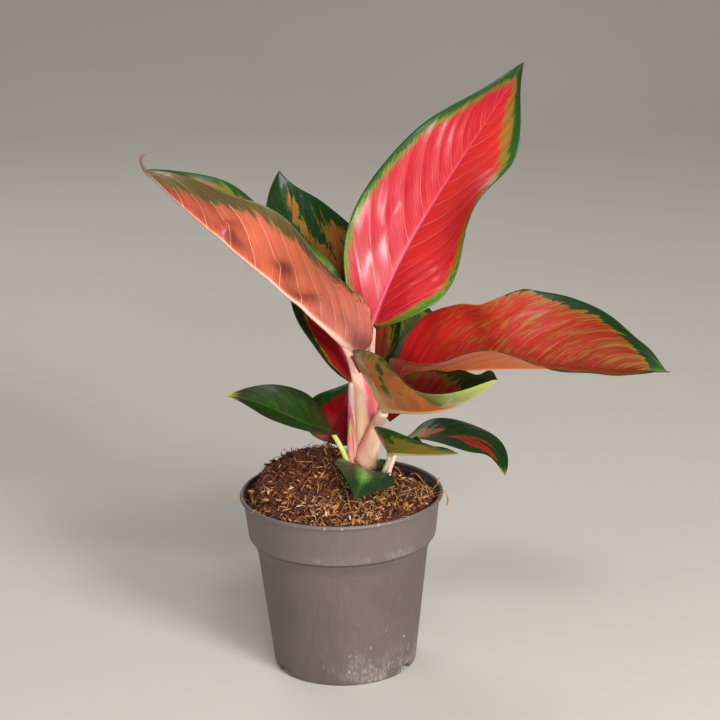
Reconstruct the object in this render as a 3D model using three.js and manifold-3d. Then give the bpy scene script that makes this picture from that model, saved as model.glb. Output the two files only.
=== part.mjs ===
// Red-leaved Chinese evergreen in a grey nursery pot.
// Millimetres, +Z up, +X right, +Y to the back, origin under the middle of the pot on the table.
import * as THREE from 'three';
import Module from 'manifold-3d';
import { mergeVertices } from 'three/addons/utils/BufferGeometryUtils.js';

const wasm = await Module();
wasm.setup();

// Pot, radii and heights
const POT_HEIGHT = 106.5;
const RIM_R = 60;
const RIM_BEAD_TALL = 2.4;
const BAND_TOP_R = 57.8;
const BAND_BOTTOM_R = 55.4;
const BAND_BOTTOM_Z = 81;
const BODY_TOP_R = 50.4;
const BODY_TOP_Z = 71.3;
const BODY_BOTTOM_R = 42.6;
const FOOT_R = 41.2;
const WALL = 1.5;
const FLOOR_UNDER_Z = 5.8;
const FLOOR_TOP_Z = 7.2;
const PAD_R = 9;
const POT_SIDES = 48;
const DRAIN_HOLE_R = 3.5;
const DRAIN_HOLE_CIRCLE_R = 27;
const DRAIN_HOLE_COUNT = 6;
const CUT_DEEP = 12;
const NOTCH_WIDE = 11;
const NOTCH_TALL = 4.6;
const NOTCH_ANGLES = [-58, 58, -122, 122];

// Soil: a level, a slope across the pot and one broad mound behind the left of the stems
const SOIL_LEVEL = 78.7;
const SOIL_SLOPE_X = 0.116;
const SOIL_SLOPE_Y = -0.303;
const MOUND_TALL = 54.2;
const MOUND_X = -18.5;
const MOUND_Y = 22.3;
const MOUND_SPREAD_X = 66;
const MOUND_SPREAD_Y = 59;
const SOIL_LUMP = 1.1;
const SOIL_EDGE_R = 53.2;
const SOIL_AT_WALL_R = 54;
const SOIL_SIDES = 40;
const SOIL_RINGS = 8;
// The soil lies deeper against the pot's left wall, towards this angle
const SUNK_DEEP = 4.5;
const SUNK_ANGLE = 176;
// Round the stems' middle the soil is smooth
const STEMS_X = 14;
const STEMS_Y = 5;
const CALM_SQUARED = 260;

// Clear space between two pieces and the room a stem has in its hole
const GAP = 0.35;

// Blades
const BLADE_THICK = 0.9;
const NECK_HALF = 1.7;
const TIP_HALF = 0.25;
const RIB_HALF = 2.2;
const SLOPE_STEP = 0.012;

// Each leaf: four points that shape its midrib, the way its upper face looks at the
// base and at the tip, its half width, how fast it widens and narrows, and for each half
// the fold off the midrib, the curl and the margin's wave (height, count, start).
const LEAVES = {
  tall_leaf: {
    rib: [[21, 6, 206], [42, 19, 262], [84, 44, 303], [111, 49, 349]],
    face: [[-0.14, -0.92, 0.37], [-0.4, -0.81, 0.42]],
    half: 38, rise: 0.55, fall: 0.92, ridge: 1.5, rows: 12, columns: 4,
    left: { fold: [22, -12], curl: [19, -9], wave: [3.8, 1.6, 0.24] },
    right: { fold: [25, 7], curl: [8, 26], wave: [8.2, 1.78, 0.43] },
  },
  left_leaf: {
    rib: [[6, 10, 192], [-24, -23, 233], [-73, -16, 269], [-103, -30, 307]],
    face: [[0.74, 0.2, 0.64], [0.56, 0.38, 0.74]],
    half: 40, rise: 0.49, fall: 0.87, ridge: 1.8, rows: 12, columns: 4,
    left: { fold: [39, 53], curl: [-10, 15], wave: [4.4, 2.43, -0.13] },
    right: { fold: [52, 60], curl: [-3, 6], wave: [5.5, 1.7, -0.04], shape: [40, 0.66, 0.87] },
  },
  right_leaf: {
    rib: [[33, 27, 164], [63, -4, 185], [117, -10, 183], [188, -29, 184]],
    face: [[0.65, -0.4, 0.62], [0.17, -0.55, 0.81]],
    half: 43.6, rise: 0.73, fall: 0.62, ridge: 1.5, rows: 12, columns: 4,
    left: { fold: [82, 42, 40], curl: [39, 11], wave: [5.7, 2.1, 0.32] },
    right: { fold: [40, 59, 42], curl: [-27, -15, -16], wave: [3.7, 2.44, 0.01] },
  },
  curled_leaf: {
    rib: [[26, -7, 157], [35, -45, 172], [57, -57, 163], [86, -90, 201]],
    face: [[-0.24, 0.3, 0.91], [-0.13, -0.3, 0.93]],
    half: 45, rise: 0.39, fall: 0.81, ridge: 1.3, rows: 12, columns: 4,
    left: { fold: [60, 56, 50], curl: [10, 10], wave: [2, 1.54, 0.04], shape: [25, 0.5, 0.5] },
    right: { fold: [64, 46, 27], curl: [34, 24], wave: [4.7, 1.45, 1.53] },
  },
  back_tall_leaf: {
    rib: [[23, 34, 172], [18, 44, 221], [-40, 74, 246], [-33, 75, 283]],
    face: [[-0.11, -0.96, 0.27], [0.44, -0.89, 0.11]],
    half: 33, rise: 0.56, fall: 0.92, ridge: 1.2, rows: 11, columns: 4,
    left: { fold: [18, 24], curl: [8, 23], wave: [-0.3, 1.5, 0] },
    right: { fold: [27, 17], curl: [21, 22], wave: [-2.6, 1.45, -0.13] },
  },
  back_left_leaf: {
    rib: [[8, 1, 173], [2, 34, 199], [-24, 31, 216], [-20, 48, 240]],
    face: [[-0.06, -0.77, 0.64], [0.27, -0.59, 0.76]],
    half: 28, rise: 0.56, fall: 0.91, ridge: 1.1, rows: 10, columns: 3,
    left: { fold: [37, 22], curl: [23, 18], wave: [1.3, 1.5, -0.1] },
    right: { fold: [46, 15], curl: [29, 10], wave: [0.2, 1.5, 0], shape: [22, 0.95, 0.8] },
  },
  back_right_leaf: {
    rib: [[27, 36, 168], [39, 57, 187], [50, 79, 190], [62, 100, 182]],
    face: [[-0.3, -0.6, 0.74], [0.3, -0.3, 0.9]],
    half: 24, rise: 0.55, fall: 0.9, ridge: 1.1, rows: 9, columns: 3,
    left: { fold: [25, 25], curl: [10, 10], wave: [1, 1.5, 0] },
    right: { fold: [25, 25], curl: [10, 10], wave: [1, 1.5, 0] },
  },
  low_left_leaf: {
    rib: [[-5, -2, 144], [-23, -22, 154], [-40, -13, 167], [-64, -21, 173]],
    face: [[0.12, -0.4, 0.91], [-0.3, -0.4, 0.87]],
    half: 19.6, rise: 0.54, fall: 0.97, ridge: 0.8, rows: 9, columns: 3,
    left: { fold: [24, 14], curl: [14, 9], wave: [-0.5, 1.56, 0.07] },
    right: { fold: [21, 12], curl: [9, 6], wave: [1.4, 1.58, 0.07] },
  },
  low_back_leaf: {
    rib: [[-8, 23, 129], [-6, 24, 135], [6, 38, 152], [5, 52, 156]],
    face: [[-0.05, -0.87, 0.49], [-0.16, -0.58, 0.8]],
    half: 20, rise: 0.56, fall: 0.88, ridge: 0.7, rows: 8, columns: 3,
    left: { fold: [17, 7], curl: [11, 6], wave: [-1, 1.5, 0] },
    right: { fold: [14, 10], curl: [9, 10], wave: [0.4, 1.5, 0] },
  },
  low_right_leaf: {
    rib: [[29, -11, 131], [24, -24, 139], [42, -34, 138], [67, -46, 144]],
    face: [[0.02, 0.21, 0.98], [0.2, 0.18, 0.96]],
    half: 19, rise: 0.52, fall: 0.94, ridge: 0.8, rows: 8, columns: 3,
    left: { fold: [23, 21], curl: [5, 3], wave: [2.4, 1.44, -0.12] },
    right: { fold: [61, 34], curl: [10, 6], wave: [-0.2, 1.5, -0.03] },
  },
  far_right_leaf: {
    rib: [[37, 18, 131], [53, 11, 133], [94, 20, 145], [97, 7, 111]],
    face: [[-0.06, 0.13, 0.99], [0.58, -0.41, 0.7]],
    half: 19, rise: 0.55, fall: 0.89, ridge: 0.8, rows: 9, columns: 3,
    left: { fold: [13, -2], curl: [-6, -7], wave: [2.4, 1.39, -0.11] },
    right: { fold: [16, -8], curl: [-3, -5], wave: [1.5, 1.43, -0.05] },
  },
  front_low_leaf: {
    rib: [[16, -1, 118.5], [13, -16, 127.5], [15, -27, 125], [8, -43, 117]],
    face: [[0.14, -0.22, 0.96], [0.05, -0.86, 0.49]],
    half: 17.9, rise: 0.55, fall: 0.96, ridge: 0.7, rows: 8, columns: 3,
    left: { fold: [-1, 0], curl: [5, 7], wave: [1.5, 1.46, -0.06] },
    right: { fold: [4, 6], curl: [9, 11], wave: [0.5, 1.47, -0.04] },
  },
  scale_leaf: {
    rib: [[22.6, 1.5, 112], [23.2, 0.8, 116.5], [23, 0.6, 120.5], [22.2, 1.2, 125.5]],
    face: [[0.2, -0.98, 0], [0.2, -0.98, 0]],
    half: 2.2, rise: 0.4, fall: 0.7, ridge: 0.1, rows: 5, columns: 2,
    left: { fold: [12, 8], curl: [10, 10], wave: [0, 1, 0] },
    right: { fold: [12, 8], curl: [10, 10], wave: [0, 1, 0] },
  },
};

// The dried hook at the tip of the left leaf: x, y, z, radius
const LEFT_TIP_HOOK = [
  [-99.5, -28.4, 302.5, 0.9], [-103, -30, 307, 0.8], [-104.8, -30.6, 311.5, 0.7], [-104.2, -30.4, 315, 0.6],
  [-102.2, -30, 316, 0.45],
];

// Stems and leaf stalks: x, y, z, radius along each one
const STALKS = {
  left: [
    [13, 12, 104, 4.6], [12.6, 12, 125, 4.4], [11.5, 11.5, 150, 3.7], [9, 10.8, 172, 3.1],
    [6.9, 10.3, 187, 2.8], [6.2, 10.1, 191, 2.6],
  ],
  tall: [
    [15, 12, 110, 4.4], [16, 12, 140, 4], [17.5, 10.5, 165, 3.2], [19.3, 8, 188, 2.7],
    [20.7, 6.1, 205.3, 2.4],
  ],
  curled: [
    [16, 10, 104, 4.8], [18.5, 7.5, 120, 4.6], [21.5, 2.5, 138, 4.2], [25, -4, 152, 3.5],
    [25.9, -6.4, 156.3, 3.1],
  ],
  right: [
    [16, 13, 108, 4.2], [20, 17, 130, 3.8], [26, 22, 148, 3.2], [31, 25.8, 159.5, 2.8],
    [32.6, 26.8, 163.2, 2.5],
  ],
  back_tall: [
    [15, 14, 110, 4], [17, 20, 135, 3.6], [20, 28, 156, 3], [22.8, 33.8, 171.3, 2.5],
  ],
  back_left: [
    [12.5, 11, 110, 3.6], [11, 8.5, 135, 3.2], [9.3, 4.2, 158, 2.6], [8.2, 0.8, 172.4, 2.2],
  ],
  back_right: [
    [16, 15, 112, 3.6], [20, 23, 138, 3], [24.5, 31.5, 159, 2.6], [26.7, 35.4, 167.4, 2.2],
  ],
  sheath: [
    [17, 6.5, 108, 5], [17, 5.2, 128, 4.3], [17.3, 4.9, 140, 2.6], [17.8, 5, 147, 0.8],
  ],
};
const SMALL_STALKS = {
  low_left_stalk: [
    [-4.6, -1.7, 143.6, 1.4], [-1.5, -1.6, 135.5, 1.5], [2, -1.7, 127.5, 1.6],
    [3.6, -1.8, 120, 1.7], [4.2, -1.8, 111, 1.6],
  ],
  low_back_stalk: [
    [-8, 22.6, 128.4, 1.1], [-6.6, 20.5, 126, 1.3], [-4.6, 18.5, 122, 1.5], [-3, 17, 112, 1.6],
  ],
  low_right_stalk: [
    [29.1, -10.4, 130.6, 1.5], [27.4, -7.8, 125, 1.6], [24.6, -4.6, 117, 1.7], [23.4, -3.4, 105, 1.7],
  ],
  far_right_stalk: [
    [36.6, 18.3, 130.3, 1.6], [33, 15, 124, 1.7], [28.6, 10.6, 114.5, 1.8], [27, 8.8, 103, 1.8],
  ],
  front_low_stalk: [
    [16.2, -0.5, 118.1, 1.3], [16.6, 0.4, 115.5, 1.4], [17, 0.6, 106, 1.5],
  ],
  young_shoot: [
    [6, 4.2, 110, 2], [6, 4, 124, 2], [6, 3.6, 136, 1.9], [6.1, 3, 143, 1.2], [6.3, 2.6, 150, 0.35],
  ],
};
// Room in the soil round the scale leaf's foot: x, y, z, radius
const SCALE_ROOM = [[22.6, 1.5, 111.5, 2.9], [23.1, 0.9, 117, 3], [23, 0.6, 122, 3]];
const STALK_SIDES = 8;
const SMALL_STALK_SIDES = 7;

// Coarse coir chips lying in the soil's surface: x, y, length, width, turn and tilt in degrees
const CHIPS = [
  [-34, -22, 9, 2.6, 20, 18], [-12, -38, 10, 2.8, -25, 14], [6, -44, 8, 3, 15, 20],
  [24, -38, 11, 2.4, 60, 16], [38, -20, 9, 2.8, -40, 18], [-22, -6, 12, 2.4, 35, 14],
  [-40, 6, 8, 2.6, 80, 20], [-24, 26, 9, 2.8, -60, 18], [-8, -20, 11, 2.2, 5, 15],
  [40, 10, 9, 2.4, 25, 20], [-30, 36, 8, 2.6, 50, 16], [20, -20, 8, 2.4, -70, 18],
];

const COLOURS = {
  pot: ['#7c6f6a', 0.55], soil: ['#4a2c1d', 0.95], main_stem: ['#e8b6a0', 0.45],
  tall_leaf: ['#d8324a', 0.35], left_leaf: ['#d87e66', 0.4], right_leaf: ['#c22c22', 0.35],
  curled_leaf: ['#8a6c3a', 0.35], back_tall_leaf: ['#2c4a22', 0.4], back_left_leaf: ['#2e4420', 0.4],
  back_right_leaf: ['#5d6a3c', 0.45], low_left_leaf: ['#35552a', 0.4], low_back_leaf: ['#7c1822', 0.4],
  low_right_leaf: ['#5a6a3a', 0.4], far_right_leaf: ['#234022', 0.4], front_low_leaf: ['#2c4f2e', 0.4],
  scale_leaf: ['#2f5a2a', 0.45], low_left_stalk: ['#b9c060', 0.45], low_back_stalk: ['#2f4526', 0.45],
  low_right_stalk: ['#c9c08a', 0.45], far_right_stalk: ['#e6c3ae', 0.45],
  front_low_stalk: ['#a8b070', 0.45], young_shoot: ['#d98a74', 0.45],
};

// Small vector and number helpers
const radians = (degrees) => (degrees * Math.PI) / 180;
const add = (a, b, k = 1) => [a[0] + b[0] * k, a[1] + b[1] * k, a[2] + b[2] * k];
const scale = (a, k) => [a[0] * k, a[1] * k, a[2] * k];
const dot = (a, b) => a[0] * b[0] + a[1] * b[1] + a[2] * b[2];
const cross = (a, b) => [a[1] * b[2] - a[2] * b[1], a[2] * b[0] - a[0] * b[2], a[0] * b[1] - a[1] * b[0]];
const unit = (a) => scale(a, 1 / Math.hypot(...a));

// Value along a leaf from two or three values: base, (middle,) tip
function along(values, u) {
  if (values.length === 2) {
    return values[0] * (1 - u) + values[1] * u;
  }
  const atBase = values[0] * (1 - u) * (1 - 2 * u);
  const atMiddle = values[1] * 4 * u * (1 - u);
  const atTip = values[2] * u * (2 * u - 1);
  return atBase + atMiddle + atTip;
}

// Share of the full half width at u, one at the widest place
function widthShare(u, rise, fall) {
  const widest = rise / (rise + fall);
  return Math.pow(u / widest, rise) * Math.pow((1 - u) / (1 - widest), fall);
}

function ribPoint(rib, u) {
  const w = 1 - u;
  const weights = [w * w * w, 3 * w * w * u, 3 * w * u * u, u * u * u];
  return weights.reduce((sum, weight, i) => add(sum, rib[i], weight), [0, 0, 0]);
}

function ribDirection(rib, u) {
  const w = 1 - u;
  const steps = [add(rib[1], rib[0], -1), add(rib[2], rib[1], -1), add(rib[3], rib[2], -1)];
  const weights = [w * w, 2 * w * u, u * u];
  return unit(weights.reduce((sum, weight, i) => add(sum, steps[i], weight), [0, 0, 0]));
}

// Half width of one side of the blade at u
function halfWidth(leaf, side, u) {
  const [half, rise, fall] = side.shape ?? [leaf.half, leaf.rise, leaf.fall];
  return half * widthShare(u, rise, fall) + NECK_HALF * (1 - u) ** 6 + TIP_HALF * u;
}

// Point of the blade's middle surface; v runs from -1 at the left margin to 1 at the right
function bladePoint(leaf, u, v) {
  const centre = ribPoint(leaf.rib, u);
  const forward = ribDirection(leaf.rib, u);
  const facing = add(scale(leaf.face[0], 1 - u), leaf.face[1], u);
  const up = unit(add(facing, forward, -dot(facing, forward)));
  const right = cross(forward, up);
  const side = v < 0 ? leaf.left : leaf.right;
  const sign = v < 0 ? -1 : 1;
  const t = Math.abs(v);
  const wide = halfWidth(leaf, side, u);
  const fold = radians(along(side.fold, u));
  const bend = radians(along(side.curl, u));
  const curl = Math.abs(bend) < 1e-4 ? 1e-4 : bend;
  const turned = fold + curl * t;
  const out = (wide * (Math.sin(turned) - Math.sin(fold))) / curl;
  const lift = (wide * (Math.cos(fold) - Math.cos(turned))) / curl;
  const [tall, count, start] = side.wave;
  const fade = Math.min((wide / leaf.half) * 1.3, 1);
  const wave = tall * t * t * Math.sin(2 * Math.PI * (count * u + start)) * fade;
  const sideways = sign * (out - wave * Math.sin(turned));
  return add(add(centre, right, sideways), up, lift + wave * Math.cos(turned));
}

// Direction off the blade's upper face, from its neighbours
function bladeNormal(leaf, u, v) {
  const u0 = Math.max(u - SLOPE_STEP, 0);
  const u1 = Math.min(u + SLOPE_STEP, 1);
  const v0 = Math.max(v - 2 * SLOPE_STEP, -1);
  const v1 = Math.min(v + 2 * SLOPE_STEP, 1);
  const alongLeaf = add(bladePoint(leaf, u1, v), bladePoint(leaf, u0, v), -1);
  const acrossLeaf = add(bladePoint(leaf, u, v1), bladePoint(leaf, u, v0), -1);
  return unit(cross(acrossLeaf, alongLeaf));
}

function toGeometry(vertices, triangles) {
  const geometry = new THREE.BufferGeometry();
  geometry.setAttribute('position', new THREE.Float32BufferAttribute(vertices.flat(), 3));
  geometry.setIndex(triangles.flat());
  geometry.computeVertexNormals();
  return geometry;
}

// A closed blade: upper and lower face of one grid, joined round the margin
function bladeGeometry(leaf) {
  const rows = leaf.rows;
  const columns = 2 * leaf.columns;
  const upper = [];
  const lower = [];
  for (let i = 0; i <= rows; i += 1) {
    const s = i / rows;
    const u = 0.45 * s + 0.55 * (0.5 - 0.5 * Math.cos(Math.PI * s));
    for (let j = 0; j <= columns; j += 1) {
      const step = (j - leaf.columns) / leaf.columns;
      const side = step < 0 ? leaf.left : leaf.right;
      const ribShare = Math.min(RIB_HALF / halfWidth(leaf, side, u), 0.5);
      const first = 1 / leaf.columns;
      const t = Math.abs(step);
      const beyond = (t - first) / (1 - first);
      const spread = t <= first ? (t / first) * ribShare : ribShare + beyond * (1 - ribShare);
      const v = Math.sign(step) * spread;
      const point = bladePoint(leaf, u, v);
      const normal = bladeNormal(leaf, u, v);
      const ridge = t === 0 ? leaf.ridge * (1 - 0.85 * u) : 0;
      upper.push(add(point, normal, BLADE_THICK / 2));
      lower.push(add(point, normal, -BLADE_THICK / 2 - ridge));
    }
  }
  const wide = columns + 1;
  const shift = upper.length;
  const triangles = [];
  for (let i = 0; i < rows; i += 1) {
    for (let j = 0; j < columns; j += 1) {
      const a = i * wide + j;
      const b = a + 1;
      const c = a + wide;
      const d = c + 1;
      triangles.push([a, b, d], [a, d, c]);
      triangles.push([a + shift, d + shift, b + shift], [a + shift, c + shift, d + shift]);
    }
  }
  const edge = [];
  for (let j = 0; j < columns; j += 1) {
    edge.push(j);
  }
  for (let i = 0; i < rows; i += 1) {
    edge.push(i * wide + columns);
  }
  for (let j = columns; j > 0; j -= 1) {
    edge.push(rows * wide + j);
  }
  for (let i = rows; i > 0; i -= 1) {
    edge.push(i * wide);
  }
  edge.forEach((a, k) => {
    const b = edge[(k + 1) % edge.length];
    triangles.push([a, a + shift, b + shift], [a, b + shift, b]);
  });
  return toGeometry([...upper, ...lower], triangles);
}

// A closed stalk of changing radius through the given points; grow makes it fatter and longer
function stalkGeometry(path, sides, grow = 0) {
  const curve = new THREE.CatmullRomCurve3(path.map((p) => new THREE.Vector3(p[0], p[1], p[2])));
  const rings = (path.length - 1) * 2;
  const vertices = [];
  const triangles = [];
  for (let i = 0; i <= rings; i += 1) {
    const at = i / rings;
    const place = at * (path.length - 1);
    const low = Math.min(Math.floor(place), path.length - 2);
    const radius = path[low][3] + (path[low + 1][3] - path[low][3]) * (place - low) + grow;
    const forward = curve.getTangent(at).toArray();
    const push = i === 0 ? -grow : i === rings ? grow : 0;
    const middle = add(curve.getPoint(at).toArray(), forward, push);
    const across = unit(cross(forward, [0, 1, 0]));
    const other = cross(forward, across);
    for (let k = 0; k < sides; k += 1) {
      const angle = (2 * Math.PI * k) / sides;
      vertices.push(add(add(middle, across, radius * Math.cos(angle)), other, radius * Math.sin(angle)));
    }
  }
  for (let i = 0; i < rings; i += 1) {
    for (let k = 0; k < sides; k += 1) {
      const a = i * sides + k;
      const b = i * sides + ((k + 1) % sides);
      triangles.push([a, b, b + sides], [a, b + sides, a + sides]);
    }
  }
  for (let k = 1; k < sides - 1; k += 1) {
    const top = rings * sides;
    triangles.push([0, k + 1, k], [top, top + k, top + k + 1]);
  }
  return toGeometry(vertices, triangles);
}

function toSolid(geometry) {
  const bare = geometry.clone();
  bare.deleteAttribute('normal');
  bare.deleteAttribute('uv');
  const merged = mergeVertices(bare, 1e-4);
  const mesh = new wasm.Mesh({
    numProp: 3,
    vertProperties: new Float32Array(merged.attributes.position.array),
    triVerts: new Uint32Array(merged.index.array),
  });
  return new wasm.Manifold(mesh);
}

function toBuffer(solid) {
  const mesh = solid.getMesh();
  const geometry = new THREE.BufferGeometry();
  geometry.setAttribute('position', new THREE.BufferAttribute(new Float32Array(mesh.vertProperties), 3));
  geometry.setIndex(new THREE.BufferAttribute(new Uint32Array(mesh.triVerts), 1));
  geometry.computeVertexNormals();
  return geometry;
}

function largest(solid) {
  return solid.decompose().reduce((best, piece) => (piece.volume() > best.volume() ? piece : best));
}

function join(solids) {
  return solids.reduce((sum, solid) => sum.add(solid));
}

// Inside radius of the pot at a height between its shoulder and its rim
function bandInside(z) {
  const share = (z - BAND_BOTTOM_Z) / (POT_HEIGHT - BAND_BOTTOM_Z);
  return BAND_BOTTOM_R - WALL + share * (BAND_TOP_R - BAND_BOTTOM_R);
}

function potSolid() {
  const beadZ = POT_HEIGHT - RIM_BEAD_TALL;
  const profile = [
    [0, 0], [PAD_R, 0], [PAD_R + 0.6, FLOOR_UNDER_Z], [FOOT_R - 1.8, FLOOR_UNDER_Z],
    [FOOT_R - 1.3, 0], [FOOT_R, 0], [BODY_BOTTOM_R - 0.3, 1.3], [BODY_BOTTOM_R, 4],
    [BODY_TOP_R, BODY_TOP_Z], [BODY_TOP_R + 0.9, BODY_TOP_Z + 3.4],
    [BODY_TOP_R + 2.6, BODY_TOP_Z + 6.4], [BAND_BOTTOM_R - 0.3, BAND_BOTTOM_Z - 0.6],
    [BAND_BOTTOM_R, BAND_BOTTOM_Z + 0.6], [BAND_TOP_R, beadZ - 0.5],
    [RIM_R - 0.5, beadZ], [RIM_R, beadZ + 1.1], [RIM_R - 0.8, POT_HEIGHT],
    [BAND_TOP_R - 0.8, POT_HEIGHT], [bandInside(POT_HEIGHT - 1.2), POT_HEIGHT - 1.2],
    [bandInside(BAND_BOTTOM_Z), BAND_BOTTOM_Z - 0.4],
    [BODY_TOP_R - WALL + 0.6, BODY_TOP_Z + 1.6], [BODY_TOP_R - WALL, BODY_TOP_Z - 1],
    [BODY_BOTTOM_R - WALL, FLOOR_TOP_Z + 1.5], [BODY_BOTTOM_R - WALL - 1.2, FLOOR_TOP_Z],
    [0, FLOOR_TOP_Z],
  ].map(([r, z]) => new THREE.Vector2(r, z));
  const shell = new THREE.LatheGeometry(profile, POT_SIDES).rotateX(Math.PI / 2);
  let pot = toSolid(shell);
  for (let i = 0; i < DRAIN_HOLE_COUNT; i += 1) {
    const angle = (2 * Math.PI * (i + 0.5)) / DRAIN_HOLE_COUNT;
    const hole = new THREE.CylinderGeometry(DRAIN_HOLE_R, DRAIN_HOLE_R, CUT_DEEP, 16);
    hole.rotateX(Math.PI / 2);
    hole.translate(DRAIN_HOLE_CIRCLE_R, 0, FLOOR_TOP_Z);
    hole.rotateZ(angle);
    pot = pot.subtract(toSolid(hole));
  }
  for (const degrees of NOTCH_ANGLES) {
    const notch = new THREE.BoxGeometry(NOTCH_WIDE, CUT_DEEP, 2 * NOTCH_TALL);
    notch.translate(0, -FOOT_R, 0).rotateZ(radians(degrees));
    pot = pot.subtract(toSolid(notch));
  }
  return pot;
}

function soilHeight(x, y) {
  const east = (x - MOUND_X) / MOUND_SPREAD_X;
  const north = (y - MOUND_Y) / MOUND_SPREAD_Y;
  const mound = MOUND_TALL * Math.exp(-east * east - north * north);
  return SOIL_LEVEL + SOIL_SLOPE_X * x + SOIL_SLOPE_Y * y + mound;
}

// Crumbs and clods: a few sine waves that do not repeat together, still near the stems
function soilLump(x, y) {
  const rough = Math.sin(0.47 * x + 0.9) * Math.cos(0.53 * y - 0.4) + 0.7 * Math.sin(0.83 * x - 0.61 * y);
  const away = (x - STEMS_X) ** 2 + (y - STEMS_Y) ** 2;
  const calm = 1 - Math.exp(-away / CALM_SQUARED);
  return SOIL_LUMP * rough * calm;
}

function soilSolid() {
  const vertices = [];
  const triangles = [];
  const bottomZ = FLOOR_TOP_Z + GAP;
  const skirt = [
    [BODY_BOTTOM_R - WALL - 1.2 - GAP - 0.2, bottomZ], [BODY_BOTTOM_R - WALL - GAP, bottomZ + 1.8],
    [BODY_TOP_R - WALL - GAP, BODY_TOP_Z - 1], [BODY_TOP_R - WALL + 0.5 - GAP, BODY_TOP_Z + 1.9],
    [bandInside(BAND_BOTTOM_Z) - GAP, BAND_BOTTOM_Z + 0.2],
  ];
  vertices.push([0, 0, bottomZ]);
  const addRing = (place) => {
    for (let k = 0; k < SOIL_SIDES; k += 1) {
      vertices.push(place((2 * Math.PI * k) / SOIL_SIDES));
    }
  };
  for (const [r, z] of skirt) {
    addRing((angle) => [r * Math.cos(angle), r * Math.sin(angle), z]);
  }
  const sunk = (angle) => SUNK_DEEP * Math.max(0, Math.cos(angle - radians(SUNK_ANGLE))) ** 6;
  addRing((angle) => {
    const wall = soilHeight(SOIL_AT_WALL_R * Math.cos(angle), SOIL_AT_WALL_R * Math.sin(angle));
    const z = Math.min(wall - 1.5 - sunk(angle) * 2, POT_HEIGHT - 2.6);
    const r = bandInside(z) - GAP;
    return [r * Math.cos(angle), r * Math.sin(angle), z];
  });
  for (let i = SOIL_RINGS - 1; i > 0; i -= 1) {
    const share = i / SOIL_RINGS;
    const r = SOIL_EDGE_R * Math.pow(share, 0.85);
    addRing((angle) => {
      const x = r * Math.cos(angle);
      const y = r * Math.sin(angle);
      const edge = i === SOIL_RINGS - 1 ? sunk(angle) * 0.6 : 0;
      return [x, y, soilHeight(x, y) + soilLump(x, y) - edge];
    });
  }
  vertices.push([0, 0, soilHeight(0, 0) + soilLump(0, 0)]);
  const rings = (vertices.length - 2) / SOIL_SIDES;
  const last = vertices.length - 1;
  for (let k = 0; k < SOIL_SIDES; k += 1) {
    const next = (k + 1) % SOIL_SIDES;
    triangles.push([0, 1 + next, 1 + k]);
    for (let i = 0; i < rings - 1; i += 1) {
      const a = 1 + i * SOIL_SIDES + k;
      const b = 1 + i * SOIL_SIDES + next;
      triangles.push([a, b, b + SOIL_SIDES], [a, b + SOIL_SIDES, a + SOIL_SIDES]);
    }
    const top = 1 + (rings - 1) * SOIL_SIDES;
    triangles.push([top + k, top + next, last]);
  }
  let soil = toSolid(toGeometry(vertices, triangles));
  for (const [x, y, long, wide, turn, tilt] of CHIPS) {
    const chip = new THREE.CylinderGeometry(wide / 2, wide / 4, long, 5).scale(1, 1, 0.45);
    chip.rotateX(radians(tilt)).rotateZ(radians(turn));
    chip.translate(x, y, soilHeight(x, y) + soilLump(x, y) + 0.6);
    soil = soil.add(toSolid(chip));
  }
  return soil;
}

function material(name) {
  const [colour, roughness] = COLOURS[name];
  return new THREE.MeshStandardMaterial({ color: colour, roughness, metalness: 0, side: THREE.FrontSide });
}

const plant = new THREE.Group();
plant.name = 'potted_chinese_evergreen';

function addNode(name, solid) {
  const mesh = new THREE.Mesh(toBuffer(solid), material(name));
  mesh.name = name;
  plant.add(mesh);
}

// All the stalks of a set as one solid, each made fatter by grow
function bundle(stalks, sides, grow = 0) {
  return join(Object.values(stalks).map((path) => toSolid(stalkGeometry(path, sides, grow))));
}

const mainStem = bundle(STALKS, STALK_SIDES);
const stemRoom = bundle(STALKS, STALK_SIDES, GAP);
const smallRoom = bundle(SMALL_STALKS, SMALL_STALK_SIDES, GAP);
const scaleRoom = toSolid(stalkGeometry(SCALE_ROOM, STALK_SIDES));
const stalkRoom = stemRoom.add(smallRoom);

addNode('pot', potSolid());
addNode('soil', largest(soilSolid().subtract(stalkRoom).subtract(scaleRoom)));
addNode('main_stem', mainStem);
for (const [name, path] of Object.entries(SMALL_STALKS)) {
  addNode(name, largest(toSolid(stalkGeometry(path, SMALL_STALK_SIDES)).subtract(stemRoom)));
}
for (const [name, leaf] of Object.entries(LEAVES)) {
  let blade = toSolid(bladeGeometry(leaf));
  if (name === 'left_leaf') {
    blade = blade.add(toSolid(stalkGeometry(LEFT_TIP_HOOK, 6)));
  }
  addNode(name, name === 'scale_leaf' ? blade : largest(blade.subtract(stalkRoom)));
}

export default plant;
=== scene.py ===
"""Red-leaved Chinese evergreen in a grey nursery pot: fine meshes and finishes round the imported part.

Metres, +Z up, +X right, +Y to the back, with the origin under the middle of the pot.
"""

import logging
import math
import random
from collections.abc import Callable, Iterator, Sequence
from contextlib import contextmanager
from dataclasses import dataclass
from enum import Enum

import bmesh
import bpy
import numpy as np
from bpy.types import Curve, Material, Mesh, NodeSocket, Object
from mathutils import Matrix, Vector, noise


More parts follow.
